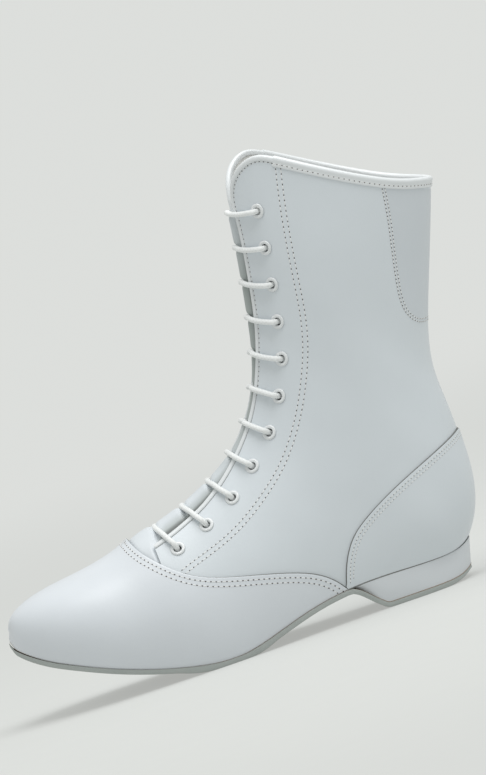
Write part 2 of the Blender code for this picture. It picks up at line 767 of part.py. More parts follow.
# Eyelets: one turned ring, set along each facing, with a hole through the upper for each
EYELET_STEPS = 7
RingPoint = namedtuple("RingPoint", "radius height")
EYELET_PROFILE = [
    RingPoint(EYELET_BORE, -EYELET_DEPTH),
    RingPoint(EYELET_BARREL, -EYELET_DEPTH),
    RingPoint(EYELET_BARREL, EYELET_SEAT),
    RingPoint(EYELET_FLANGE, EYELET_SEAT),
    RingPoint(EYELET_BORE, EYELET_TOP),
]
ring_shape = bmesh.new()
ring_verts = [ring_shape.verts.new(Vector((p.radius, 0, p.height)) * SIZE * MILLIMETRE) for p in EYELET_PROFILE]
for a, b in zip(ring_verts, ring_verts[1:] + ring_verts[:1]):
    ring_shape.edges.new((a, b))
bmesh.ops.spin(
    ring_shape,
    geom=ring_shape.verts[:] + ring_shape.edges[:],
    cent=(0, 0, 0),
    axis=(0, 0, 1),
    angle=2 * math.pi,
    steps=EYELET_STEPS,
    use_merge=True,
)
weld(ring_shape)
ring_data = mesh_from("eyelet", ring_shape)
ring_data.materials.append(EYELET_PAINT)

MEDIAL_SHIFT = 0.9


def eyelet_spot(number, side):
    """The place and share of an eyelet, counted from the bottom of the lacing."""
    place, share = eyelet_line.evenly(EYELET_COUNT)[number]
    return place, share * (1.0 if side == LATERAL else MEDIAL_SHIFT)


def eyelet_frame(number, side):
    """A matrix whose Z axis points out of the boot at an eyelet."""
    spot = eyelet_spot(number, side)
    normal = last_normal(*spot, side)
    turn = Vector((0, 0, 1)).rotation_difference(normal)
    return Matrix.Translation(world(last_point(*spot, side))) @ turn.to_matrix().to_4x4()


hole_shape = bmesh.new()
for side, side_name in ((LATERAL, "lateral"), (MEDIAL, "medial")):
    for number in range(EYELET_COUNT):
        ring = bpy.data.objects.new(f"eyelet_{side_name}_{number + 1:02d}", ring_data)
        boot.objects.link(ring)
        ring.parent = root
        ring.matrix_world = eyelet_frame(number, side)
        bmesh.ops.create_cone(
            hole_shape,
            cap_ends=True,
            segments=6,
            radius1=EYELET_HOLE * SIZE * MILLIMETRE,
            radius2=EYELET_HOLE * SIZE * MILLIMETRE,
            depth=9 * SIZE * MILLIMETRE,
            matrix=eyelet_frame(number, side),
        )
holes = bpy.data.objects.new("eyelet_holes", mesh_from("eyelet_holes", hole_shape))
cutters.objects.link(holes)
holes.hide_render = True
holes.display_type = "WIRE"
punch = upper.modifiers.new("eyelet_holes", "BOOLEAN")
punch.operation = "DIFFERENCE"
punch.object = holes


# Lace: a bar over the throat at each pair of eyelets, joined inside the facings from pair to pair
BAR_LIFT = 2.2
RING_LIFT = 2.95
TURN_REACH = 3.5
RUN_DEPTH = 4.4
BAR_POINTS = 5


def lace_turn(number, side, towards):
    """The lace's path at one eyelet, from the bar down through the ring."""
    place, share = eyelet_spot(number, side)
    centre = last_point(place, share, side)
    normal = last_normal(place, share, side)
    flat = towards - centre
    flat = (flat - normal * flat.dot(normal)).normalized()
    return [
        centre + flat * TURN_REACH + normal * RING_LIFT,
        centre + flat * 1.1 + normal * 1.95,
        centre + flat * 0.1 - normal * 0.3,
        centre - normal * 2.7,
    ]


def bar_points(number):
    """The part over the throat, from the lateral eyelet across the ridge to the medial one."""
    ridge = bar_ridge.evenly(EYELET_COUNT)[number][0]
    points = []
    for part in np.linspace(-0.86, 0.86, BAR_POINTS):
        side = LATERAL if part < 0 else MEDIAL
        place, share = eyelet_spot(number, side)
        points.append(skin(between(ridge, place, abs(part) ** 1.4), share * abs(part), side, BAR_LIFT))
    return points


def lace_path():
    path = []
    for number in range(EYELET_COUNT):
        bar = bar_points(number)
        row = lace_turn(number, LATERAL, bar[0])[::-1] + bar + lace_turn(number, MEDIAL, bar[-1])
        leaving = LATERAL if number % 2 else MEDIAL
        if leaving == LATERAL:
            row.reverse()
        path += row
        if number < EYELET_COUNT - 1:
            here, there = eyelet_spot(number, leaving), eyelet_spot(number + 1, leaving)
            for part in (0.18, 0.82):
                place = between(here[0], there[0], part)
                share = between(here[1], there[1], part)
                path.append(skin(place, share, leaving, -RUN_DEPTH))
    return path


lace_points = lace_path()
cord = bpy.data.curves.new("lace", "CURVE")
cord.dimensions = "3D"
cord.bevel_depth = LACE_RADIUS * SIZE * MILLIMETRE
cord.bevel_resolution = 1
cord.use_fill_caps = True
run = cord.splines.new("POLY")
run.points.add(len(lace_points) - 1)
for point, place in zip(run.points, lace_points):
    point.co = (*world(place), 1.0)
add_part("lace", cord, LACE_CORD)
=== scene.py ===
"""Looks of a lace-up dance boot for a left foot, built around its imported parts.

The file is laid out as an add-on and run as a script. The boot's leather is drawn on the same last as the
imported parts: the tables are in millimetres, x back from the tip of the toe, y to the inner side of the foot
and z up from the floor, and placed() turns them into metres in the parts' own frame.
"""

import math

import bmesh
import bpy
import numpy as np
from mathutils import Matrix, Vector


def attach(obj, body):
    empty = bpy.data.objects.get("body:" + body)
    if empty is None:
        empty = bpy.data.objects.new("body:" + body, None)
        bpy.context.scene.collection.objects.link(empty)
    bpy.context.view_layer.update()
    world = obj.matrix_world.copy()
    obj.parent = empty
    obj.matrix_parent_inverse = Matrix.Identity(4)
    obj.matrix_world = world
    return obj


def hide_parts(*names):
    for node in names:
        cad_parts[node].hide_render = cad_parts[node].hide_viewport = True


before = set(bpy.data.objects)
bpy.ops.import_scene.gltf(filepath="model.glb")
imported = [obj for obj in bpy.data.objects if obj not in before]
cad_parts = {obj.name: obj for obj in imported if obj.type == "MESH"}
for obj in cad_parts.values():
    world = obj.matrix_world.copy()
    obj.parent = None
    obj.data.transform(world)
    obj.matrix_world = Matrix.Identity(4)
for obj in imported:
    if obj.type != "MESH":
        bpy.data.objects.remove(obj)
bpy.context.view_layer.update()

bl_info = {
    "name": "Lace-up dance boot",
    "version": (1, 0, 0),
    "blender": (4, 5, 0),
    "location": "3D View > Sidebar > Boot",
    "description": "Leather, stitching, eyelets, lace and sole of a lace-up dance boot",
    "category": "Object",
}

MILLIMETRE = 0.001
BOX_MIDDLE = np.array([146.6, -1.2, 0.0])
LATERAL, MEDIAL = -1, 1
SIDES = ((LATERAL, "lateral"), (MEDIAL, "medial"))

# The toe is half an ellipse from above: angle round it, height of its top and bottom, middle, ridge
TOE_TIP_X = 1.4
TOE_END_X = 70.0
TOE_LATERAL = 43.0
TOE_MEDIAL = 41.5
TOE_ROWS = [
    (0, 52.4, 44.2, 5.0, -0.15),
    (18, 58.0, 40.0, 4.6, -0.15),
    (36, 63.2, 32.6, 3.8, -0.12),
    (54, 66.8, 25.2, 2.8, -0.08),
    (72, 69.5, 17.2, 1.6, 0.0),
    (90, 74.8, 10.0, 0.6, 0.10),
]

# From the ball to the collar: front x and z, back x and z, lateral and medial half width, middle, share of
# the way back where it is widest, sharpness of the ridge and the heel, and share of the width at the sole
BODY_SECTIONS = [
    (89, 83.4, 92, 4.6, 44.5, 41.5, 0.0, 0.72, 0.18, 0.0, 0.90),
    (107, 88.6, 114, 3.0, 44.0, 39.5, 0.0, 0.72, 0.22, 0.0, 0.90),
    (124, 95.2, 137, 8.2, 41.5, 36.5, 0.0, 0.71, 0.22, 0.0, 0.89),
    (138, 103.0, 160, 14.2, 38.5, 34.5, 0.0, 0.69, 0.20, -0.05, 0.87),
    (149, 111.8, 183, 17.1, 36.0, 33.5, 0.0, 0.65, 0.16, -0.15, 0.85),
    (157.5, 121.6, 205, 17.3, 34.5, 33.0, 0.0, 0.60, 0.14, -0.30, 0.83),
    (163.8, 131.5, 229, 6.5, 34.0, 33.0, 0.0, 0.51, 0.12, -0.52, 0.0),
    (168, 141.0, 241, 13.5, 33.8, 33.0, 0.0, 0.51, 0.12, -0.62, 0.0),
    (171.2, 150.0, 249.0, 21.2, 33.6, 33.0, 0.0, 0.51, 0.10, -0.52, 0.0),
    (174, 159.5, 256.6, 33.0, 33.4, 33.0, 0.0, 0.50, 0.10, -0.32, 0.0),
    (176.4, 170.0, 261.5, 50.0, 33.2, 33.0, 0.0, 0.50, 0.10, -0.12, 0.0),
    (178.7, 181.5, 262.7, 70.0, 33.2, 33.0, 0.0, 0.49, 0.10, 0.02, 0.0),
    (180.8, 193.5, 262.2, 92.0, 33.6, 33.4, 0.0, 0.49, 0.10, 0.06, 0.0),
    (182.6, 206.0, 261.6, 114.0, 34.4, 34.2, 0.0, 0.49, 0.10, 0.04, 0.0),
    (184.2, 219.0, 267.0, 138.0, 35.6, 35.4, 0.0, 0.50, 0.08, 0.0, 0.0),
    (185.6, 233.0, 276.0, 163.0, 36.8, 36.6, 0.0, 0.51, 0.06, 0.0, 0.0),
    (186.8, 247.0, 286.0, 190.0, 37.6, 37.4, 0.0, 0.52, 0.05, 0.0, 0.0),
    (188.0, 262.0, 295.5, 217.0, 38.2, 38.0, 0.0, 0.52, 0.05, 0.0, 0.0),
    (189.2, 278.0, 305.0, 245.0, 38.6, 38.4, 0.0, 0.52, 0.05, 0.0, 0.0),
]
SEAT_LINE = [(225, 16.7), (240, 17.6), (249.0, 21.2)]
HEEL_END_PLACE = 14.0

# The toe's tip is blunter just above the sole: how far it is moved, round which shares and up to which places
TOE_FORWARD = 1.3
TOE_RAISE = 1.8
TOE_SHARES = (0.3, 1.0)
TOE_FORWARD_PLACES = (0.6, 2.2)
TOE_RAISE_PLACES = (0.0, 0.7)

# Lines on the boot as they look from the side
THROAT_EDGE = [
    (88, 72.2), (98, 75.2), (108, 78.8), (118, 83.2), (127.5, 88.8), (138, 96.6), (150.5, 108.8),
    (162, 124.2), (171, 143.5), (178, 166.0), (182.5, 190.0), (185.6, 212.0), (187.2, 231.0),
]
COLLAR_EDGE = [
    (187.2, 231.0), (189.6, 240.5), (195.5, 248.4), (204.5, 252.0), (214, 249.0),
    (228, 240.6), (244, 231.0), (260, 222.0), (276, 214.4), (292.0, 209.2),
]
VAMP_EDGE = [
    (75.5, 80.0), (79.5, 71.5), (86.5, 63.5), (96, 55.2), (110, 47.6),
    (130, 41.8), (150, 36.3), (165, 30.2), (174, 23.0), (179, 16.0),
]
NOTCH_EDGE = [(72.5, 79.0), (75.5, 70.5), (80.5, 64.0), (88, 58.5)]
COUNTER_EDGE = [
    (177.5, 15.5), (181.8, 29.0), (189, 41.0), (200, 49.8),
    (218, 59.4), (240, 68.6), (256, 74.6), (264.6, 78.5),
]
EYELET_LINE = [
    (99.5, 67.0), (119, 74.2), (136.5, 83.3), (152.7, 96.2), (167, 110.4),
    (177.6, 126.8), (185.1, 144.6), (193, 184.5), (198.2, 223.8),
]
BAR_RIDGE = [(90.5, 83.0), (127, 96.0), (156, 120.0), (171, 152.5), (180, 190.0), (183.5, 227.5)]
FACING_SEAM = [
    (97.8, 56.0), (107.5, 59.2), (122, 63.9), (138, 71.3), (154, 82.0), (168, 94.5), (180, 110.3),
    (188.8, 126.1), (197.1, 145.9), (202.2, 166.9), (205.4, 191.4), (209.8, 220.4), (214.9, 245.2),
]
GORE_SEAM = [
    (265.0, 216.0), (262.6, 198.3), (259.8, 183.9), (256.5, 166.1), (255.1, 153.1), (256.9, 144.2),
    (261.6, 138.9), (267.2, 137.8),
]
BINDING_START = (215, 248.6)

# The inner facing's edge in shares of the outer one's, at the throat's lower end and this many places up
MEDIAL_SHARES = (0.95, 0.72)
MEDIAL_PLACES = 6

# A line that comes nearer the sole or the back than this share ends there
NEAR_BACK = 0.999

# The outsole's inner line from the waist down the heel's breast and under the heel
HEEL_RUN = [
    (180.5, 16.6), (184.6, 14.4), (188.6, 10.8), (192.6, 6.8), (196.2, 3.7), (200, 2.7), (212, 2.7),
    (222, 2.7), (231, 2.7), (238, 3.2), (242.6, 4.4), (245.4, 5.6), (246.6, 6.2),
]
HEEL_FLAT_Z = 2.7
HEEL_THIN_X = 231
WAIST_PLACE = 9.78
BALL_FLAT = (99.0, 117.0)
HEEL_HALF = 28.6
HEEL_ROUND_X = 216.0
GAP = 0.3

# Lace bars: height over the facings, how late each side climbs, and height over the middle of the throat,
# which rises from bar to bar up to a limit
EYELET_COUNT = 11
BAR_LIFT = 2.25
BAR_CLIMB = {LATERAL: 2.3, MEDIAL: 3.2}
BAR_LOW = -4.5
BAR_RISE = 0.8
BAR_HIGH = 1.6
EYELET_MEDIAL = 0.9


def between(low, high, part):
    return low + (high - low) * part


def ease(low, high, value):
    """A smooth step from 0 at low to 1 at high."""
    part = np.clip((np.asarray(value, float) - low) / (high - low), 0.0, 1.0)
    return part * part * (3 - 2 * part)


def placed(points):
    """Points of the drawing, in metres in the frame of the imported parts."""
    return (np.asarray(points, float) - BOX_MIDDLE) * MILLIMETRE


def spline(rows):
    """A smooth curve through rows of values at 0, 1, 2 and so on, for any array of places."""
    values = np.asarray(rows, float)
    count = len(values)
    system = np.eye(count)
    right = np.zeros_like(values)
    for i in range(1, count - 1):
        system[i, i - 1 : i + 2] = (1, 4, 1)
        right[i] = 6 * (values[i + 1] - 2 * values[i] + values[i - 1])
    bends = np.linalg.solve(system, right)

    def at(place):
        place = np.asarray(place, float)
        i = np.clip(place.astype(int), 0, count - 2)
        t = (place - i)[..., None]
        s = 1 - t
        bend = (s**3 - s) * bends[i] + (t**3 - t) * bends[i + 1]
        return s * values[i] + t * values[i + 1] + bend / 6

    return at


def toe_section(angle, top, bottom, centre, ridge):
    turn = math.radians(angle)
    x = between(TOE_END_X, TOE_TIP_X, math.cos(turn))
    lateral = TOE_LATERAL * math.sin(turn)
    medial = TOE_MEDIAL * math.sin(turn)
    return (x, top, x, bottom, lateral, medial, centre, 0.70, ridge, 0.0, 0.90)


def buried(section):
    """The section carried on below the sole line until it closes, so that the sole can cut it."""
    front_x, front_z, back_x, back_z, lateral, medial, centre, widest, ridge, heel, seat = section
    if seat == 0:
        return section
    turn = math.pi - math.asin(seat)
    for _ in range(4):
        turn = math.pi - math.asin(seat / (1 - heel * math.cos(turn) ** 2))
    reach = widest - (1 - widest) / math.cos(turn)
    low_x = between(front_x, back_x, reach)
    low_z = between(front_z, back_z, reach)
    return (front_x, front_z, low_x, low_z, lateral, medial, centre, widest / reach, ridge, heel, 0.0)


DRAWN_SECTIONS = [toe_section(*row) for row in TOE_ROWS] + BODY_SECTIONS
LAST_PLACE = len(DRAWN_SECTIONS) - 1
section_at = spline([buried(section) for section in DRAWN_SECTIONS])
SOLE_POINTS = [(row[2], row[3]) for row in DRAWN_SECTIONS if row[-1]] + SEAT_LINE
SOLE_LINE = spline(SOLE_POINTS)(np.linspace(0, len(SOLE_POINTS) - 1, 400))


def sole_level(x):
    """The height of the sole line at x."""
    return np.interp(x, SOLE_LINE[:, 0], SOLE_LINE[:, 1])


def outline(section, turn, side):
    """Points of sections, at angles round them from their fronts."""
    columns = np.moveaxis(section, -1, 0)
    front_x, front_z, back_x, back_z, lateral, medial, centre, widest, ridge, heel, _ = columns
    cosine = np.cos(turn)
    in_front = cosine >= 0
    back = np.where(in_front, widest * (1 - cosine), widest - (1 - widest) * cosine)
    sharpness = np.where(in_front, ridge, heel)
    half = np.where(np.asarray(side) < 0, lateral, medial)
    half = half * np.sin(turn) * (1 - sharpness * cosine**2)
    x = between(front_x, back_x, back)
    z = between(front_z, back_z, back)
    return np.stack(np.broadcast_arrays(x, centre + side * half, z), -1)


def sole_cuts(places):
    """The angles round the sections at which the sole cuts them, or half a turn where they close first."""
    sections = section_at(places)
    low = np.full(len(places), math.pi / 2)
    high = np.full(len(places), math.pi)
    closing = outline(sections, high, LATERAL)
    cut = (closing[:, 2] < sole_level(closing[:, 0]) - 1e-6) & (places < HEEL_END_PLACE)
    for _ in range(40):
        middle = (low + high) / 2
        point = outline(sections, middle, LATERAL)
        above = point[:, 2] > sole_level(point[:, 0])
        low = np.where(above, middle, low)
        high = np.where(above, high, middle)
    return np.where(cut, high, math.pi)


CUT_PLACES = np.linspace(0, HEEL_END_PLACE, 1401)
CUT_ANGLES = sole_cuts(CUT_PLACES)

# Step in place, share or angle for slopes
STEP = 0.02


def last(place, share, side):
    """Points of the last. Share runs round the section from the ridge, 0, to the sole or the back, 1."""
    points = outline(section_at(place), share * np.interp(place, CUT_PLACES, CUT_ANGLES), side)
    low = ease(*TOE_SHARES, share)
    forward = TOE_FORWARD * low * (1 - ease(*TOE_FORWARD_PLACES, place))
    up = TOE_RAISE * low * (1 - ease(*TOE_RAISE_PLACES, place))
    return points + np.stack(np.broadcast_arrays(-forward, 0.0, up), -1)


def slopes(place, share, side):
    """How the last runs towards the collar and round towards the sole, for each whole place and share."""
    place = np.maximum(place, STEP)
    along = (last(place + STEP, share, side) - last(place - STEP, share, side)) / (2 * STEP)
    low, high = share - STEP, share + STEP
    past = high > 1
    closed = place >= HEEL_END_PLACE
    top = last(place, np.abs(low), np.where(low < 0, -side, side))
    high = np.where(past & ~closed, 1.0, high)
    bottom = last(place, np.where(past & closed, 2 - high, high), np.where(past & closed, -side, side))
    return along, (bottom - top) / (high - low)[..., None]


def normals(place, share, side):
    """The last's outward directions."""
    along, across = slopes(place, share, side)
    out = np.cross(along, across) * np.asarray(side)[..., None]
    return out / np.linalg.norm(out, axis=-1, keepdims=True)


def skin(place, share, side, lift):
    """Points this far outside the last, or inside it where lift is below 0."""
    place, share, side, lift = np.broadcast_arrays(place, share, side, lift)
    return last(place, share, side) + normals(place, share, side) * lift[..., None]


def locate(x, z):
    """The places and shares of the points of the last that show at x and z from the side."""
    x, z = np.broadcast_arrays(np.asarray(x, float), np.asarray(z, float))
    low = np.zeros(x.shape)
    high = np.full(x.shape, float(LAST_PLACE))
    for _ in range(40):
        middle = (low + high) / 2
        front_x, front_z, back_x, back_z = np.moveaxis(section_at(middle)[..., :4], -1, 0)
        beyond = (back_x - front_x) * (z - front_z) > (back_z - front_z) * (x - front_x)
        low = np.where(beyond, middle, low)
        high = np.where(beyond, high, middle)
    front_x, front_z, back_x, back_z = np.moveaxis(section_at(low)[..., :4], -1, 0)
    widest = section_at(low)[..., 7]
    run_x, run_z = back_x - front_x, back_z - front_z
    back = ((x - front_x) * run_x + (z - front_z) * run_z) / (run_x**2 + run_z**2)
    back = np.clip(back, 0, 1)
    cosine = np.where(back <= widest, 1 - back / widest, (widest - back) / (1 - widest))
    turn = np.arccos(np.clip(cosine, -1, 1))
    return low, np.minimum(turn / np.interp(low, CUT_PLACES, CUT_ANGLES), 1.0)


def unit(vectors):
    return vectors / np.maximum(np.linalg.norm(vectors, axis=-1, keepdims=True), 1e-12)


class Track:
    """A line on one side of the last, as arrays of places and shares."""

    SAMPLES = 160

    def __init__(self, place, share, side=LATERAL):
        self.place, self.share = np.broadcast_arrays(np.asarray(place, float), np.asarray(share, float))
        self.side = side

    @classmethod
    def drawn(cls, points, side=LATERAL):
        steps = spline(points)(np.linspace(0, len(points) - 1, cls.SAMPLES))
        return cls(*locate(steps[:, 0], steps[:, 1]), side)

    def place_at(self, share):
        return np.interp(share, self.share, self.place)

    def share_at(self, place):
        return np.interp(place, self.place, self.share)

    def on(self, side):
        return Track(self.place, self.share, side)

    def points(self, lift=0.0):
        return skin(self.place, self.share, self.side, lift)

    def out(self):
        return normals(self.place, self.share, np.full(self.place.shape, self.side))

    def reach(self):
        steps = np.linalg.norm(np.diff(self.points(), axis=0), axis=1)
        return np.concatenate([[0.0], np.cumsum(steps)])

    @classmethod
    def turned(cls, place, turn, side):
        """A line given by the angles round its sections."""
        return cls(place, turn / np.interp(place, CUT_PLACES, CUT_ANGLES), side)

    def turn(self):
        return self.share * np.interp(self.place, CUT_PLACES, CUT_ANGLES)

    def beside(self, offset):
        """The line moved over the surface, to its left on the lateral side where offset is above 0."""
        run = unit(np.gradient(self.points(), axis=0))
        goal = self.points() + unit(np.cross(self.out(), run)) * -self.side * offset
        place, turn = self.place, self.turn()
        for _ in range(3):
            here = outline(section_at(place), turn, self.side)
            along = (outline(section_at(place + STEP), turn, self.side) - here) / STEP
            across = (outline(section_at(place), turn + STEP, self.side) - here) / STEP
            aa, bb, ab = ((p * q).sum(-1) for p, q in ((along, along), (across, across), (along, across)))
            pa, pb = ((goal - here) * along).sum(-1), ((goal - here) * across).sum(-1)
            scale = aa * bb - ab**2
            place = np.maximum(place + (pa * bb - pb * ab) / scale, 0.0)
            turn = turn + (pb * aa - pa * ab) / scale
        return Track.turned(place, turn, self.side)

    def cut(self, first, rest, count=SAMPLES):
        """The stretch of the line between two shares of its length, with its points evenly apart."""
        reach = self.reach() / self.reach()[-1]
        wanted = np.linspace(first, rest, count)
        place = np.interp(wanted, reach, self.place)
        return Track.turned(place, np.interp(wanted, reach, self.turn()), self.side)

    def evenly(self, count):
        return self.cut(0.0, 1.0, count)

    def stepped(self, pitch):
        """The line with points about this far apart."""
        return self.evenly(max(2, round(self.reach()[-1] / pitch) + 1))


throat_edge = Track.drawn(THROAT_EDGE)
collar_edge = Track.drawn(COLLAR_EDGE)
vamp_edge = Track.drawn(VAMP_EDGE)
notch_edge = Track.drawn(NOTCH_EDGE)
counter_edge = Track.drawn(COUNTER_EDGE)
eyelet_line = Track.drawn(EYELET_LINE)
bar_ridge = Track.drawn(BAR_RIDGE)
facing_seam = Track.drawn(FACING_SEAM)
gore_seam = Track.drawn(GORE_SEAM)
seamed = counter_edge.share < NEAR_BACK
counter_edge = Track(counter_edge.place[seamed], counter_edge.share[seamed])
THROAT_PLACE = float(throat_edge.place[0])
NOTCH_PLACE = float(notch_edge.place[0])


def throat_share(place, side):
    """Where round the section the facing's front edge lies, nearer the ridge up the inner side."""
    share = throat_edge.share_at(place)
    if side == LATERAL:
        return share
    return share * between(*MEDIAL_SHARES, ease(THROAT_PLACE, THROAT_PLACE + MEDIAL_PLACES, place))


def rim(part, side):
    """The collar's line, these parts of the way from the throat's edge to the back."""
    place = collar_edge.place_at(between(collar_edge.share[0], 1.0, np.asarray(part, float)))
    return Track(place, between(throat_share(place, side), 1.0, part), side)


BINDING_PART = float((locate(*BINDING_START)[1] - collar_edge.share[0]) / (1 - collar_edge.share[0]))


def facing_rim(side):
    """The facing's free edge, from the throat's lower end up and round its corner to the binding."""
    place = np.linspace(THROAT_PLACE, throat_edge.place[-1], 120)
    corner = rim(np.linspace(0, BINDING_PART, 40)[1:], side)
    share = throat_share(place, side)
    return Track(np.append(place, corner.place), np.append(share, corner.share), side)


def length(name, description, default):
    return bpy.props.FloatProperty(name=name, description=description, default=default, unit="LENGTH")


class Sizes(bpy.types.PropertyGroup):
    """Sizes of the boot's pieces that a user would change."""

    wall: length("Wall", "Upper with its lining", 0.0018)
    overlay: length("Overlay", "Leather of the vamp and the counter", 0.0011)
    tongue: length("Tongue", "Tongue's thickness", 0.002)
    sole: length("Sole", "Outsole's thickness", 0.0027)
    sole_margin: length("Sole margin", "How far the outsole stands out from the last", 0.0019)
    ring: length("Ring", "Eyelet's outer radius", 0.0041)
    bore: length("Bore", "Eyelet's hole radius", 0.0022)
    cord: length("Cord", "Lace's diameter", 0.003)
    thread: length("Thread", "Sewing thread's width", 0.0007)
    pitch: length("Stitch", "Stitch length", 0.00285)


def colour(name, description, default):
    return bpy.props.FloatVectorProperty(
        name=name, description=description, default=default, subtype="COLOR", size=3, min=0.0, max=1.0
    )


class Colours(bpy.types.PropertyGroup):
    """Colours of the boot's finishes, in linear light."""

    leather: colour("Leather", "Quarters and counter", (0.655, 0.70, 0.735))
    vamp: colour("Vamp", "Vamp leather", (0.68, 0.715, 0.755))
    trim: colour("Trim", "Bindings and facing edges", (0.72, 0.745, 0.76))
    # Painted shade: dark colour for creases beside the overlays, the facing grooves and the corner above the
    # heel seat
    painted_corner_shade: colour("Crease", "Shaded creases, facing grooves and heel seat", (0.20, 0.205, 0.20))
    gore: colour("Gore", "Panel at the back", (0.60, 0.64, 0.675))
    tongue: colour("Tongue", "Tongue leather", (0.66, 0.70, 0.735))
    # Painted shade: the tongue's colour where shade falls on it beside the facings and up the shaft
    tongue_painted_shade: colour("Tongue sides", "Tongue beside the facings and up the shaft", (0.35, 0.385, 0.37))
    lining: colour("Lining", "Lining inside the boot", (0.80, 0.80, 0.785))
    cut_edge: colour("Cut edge", "Raw edge of the overlays", (0.20, 0.205, 0.20))
    heel: colour("Heel", "Covered heel block", (0.66, 0.69, 0.72))
    sole: colour("Sole edge", "Edge of the outsole", (0.385, 0.415, 0.40))
    tread: colour("Tread", "Underside of the outsole", (0.30, 0.29, 0.26))
    # Partly the seam's own brown, partly painted shade of the gaps above the sole and at the heel's foot
    welt_and_gap_shade: colour("Welt", "Thin lines above the sole and the heel's foot", (0.31, 0.25, 0.20))
    # Painted shade: the dark inside of the needle holes
    seam: colour("Seam", "Needle holes", (0.09, 0.075, 0.07))
    enamel: colour("Enamel", "Painted eyelets", (0.74, 0.76, 0.77))
    cord: colour("Cord", "Lace", (0.80, 0.815, 0.815))
    thread: colour("Thread", "Sewing thread", (0.78, 0.79, 0.79))
    floor: colour("Floor", "Floor and background", (0.72, 0.735, 0.715))


class Value:
    """A shader socket that can be used in sums."""

    def __init__(self, look, socket):
        self.look = look
        self.socket = socket

    def math(self, operation, first, second):
        return self.look.node("ShaderNodeMath", {"operation": operation}, {0: first, 1: second})

    def __add__(self, other):
        return self.math("ADD", self, other)

    def __radd__(self, other):
        return self.math("ADD", other, self)

    def __sub__(self, other):
        return self.math("SUBTRACT", self, other)

    def __rsub__(self, other):
        return self.math("SUBTRACT", other, self)

    def __mul__(self, other):
        return self.math("MULTIPLY", self, other)

    def __rmul__(self, other):
        return self.math("MULTIPLY", other, self)


class Look:
    """One material, with its Principled shader and a way to add nodes."""

    def __init__(self, name):
        self.material = bpy.data.materials.new(name)
        self.material.use_nodes = True
        self.tree = self.material.node_tree
        self.shader = self.tree.nodes["Principled BSDF"]

    def connect(self, socket, value):
        if isinstance(value, Value):
            self.tree.links.new(value.socket, socket)
        else:
            socket.default_value = value

    def node(self, kind, settings, sockets, output=0):
        made = self.tree.nodes.new(kind)
        for name, value in settings.items():
            setattr(made, name, value)
        for name, value in sockets.items():
            self.connect(made.inputs[name], value)
        return Value(self, made.outputs[output])

    def coordinates(self, output="Object"):
        return self.node("ShaderNodeTexCoord", {}, {}, output)

    def noise(self, scale, detail=2.0, roughness=0.5, at=None):
        sockets = {"Vector": at or self.coordinates(), "Scale": scale}
        sockets |= {"Detail": detail, "Roughness": roughness}
        return self.node("ShaderNodeTexNoise", {}, sockets)

    def cells(self, scale):
        sockets = {"Vector": self.coordinates(), "Scale": scale}
        return self.node("ShaderNodeTexVoronoi", {"feature": "SMOOTH_F1"}, sockets)

    def mix(self, factor, first, second):
        first, second = (tint if isinstance(tint, Value) else (*tint, 1.0) for tint in (first, second))
        return self.node("ShaderNodeMix", {"data_type": "RGBA"}, {0: factor, 6: first, 7: second}, 2)

    def axis(self, vector, name):
        return self.node("ShaderNodeSeparateXYZ", {}, {0: vector}, name)

    def ramp(self, value, low, high, start=0.0):
        """A smooth step from start at low to 1 at high."""
        sockets = {"Value": value, "From Min": low, "From Max": high, "To Min": start}
        return self.node("ShaderNodeMapRange", {"interpolation_type": "SMOOTHSTEP"}, sockets)

    def bump(self, height, strength, distance):
        sockets = {"Height": height, "Strength": strength, "Distance": distance}
        return self.node("ShaderNodeBump", {}, sockets)

    def finish(self, **sockets):
        for name, value in sockets.items():
            self.connect(self.shader.inputs[name.replace("_", " ").title().replace("Ior", "IOR")], value)
        return self.material


def shade(tint, amount):
    return tuple(min(1.0, channel * amount) for channel in tint)


def smooth_leather(name, tint, roughness):
    """Smooth dyed leather: faint clouding, fine grain with pores, and a slow waviness of the hide."""
    look = Look(name)
    cloud = look.noise(38.0, 3.0)
    pores = look.cells(1500.0)
    hide = look.noise(150.0, 3.0, 0.55)
    grain = look.noise(2600.0, 2.0, 0.6)
    height = pores * 0.45 + grain * 0.35 + hide * 1.6
    return look.finish(
        base_color=look.mix(cloud * 0.7 + grain * 0.3, shade(tint, 0.955), shade(tint, 1.045)),
        roughness=cloud * 0.10 + grain * 0.06 + (roughness - 0.08),
        coat_weight=0.25,
        coat_roughness=0.32,
        normal=look.bump(height, 0.22, 0.00012),
    )


# Where painted shade darkens the tongue: along its map, up the boot in metres, and in parts of the way to the
# facing's edge
LACED_PARTS = (0.14, 0.18)
SHAFT_HEIGHTS = (0.085, 0.125)
COLLAR_HEIGHTS = (0.185, 0.225)
SIDE_PARTS = (0.35, 0.9)
SLIT_SHADOW_PARTS = (0.66, 0.8)


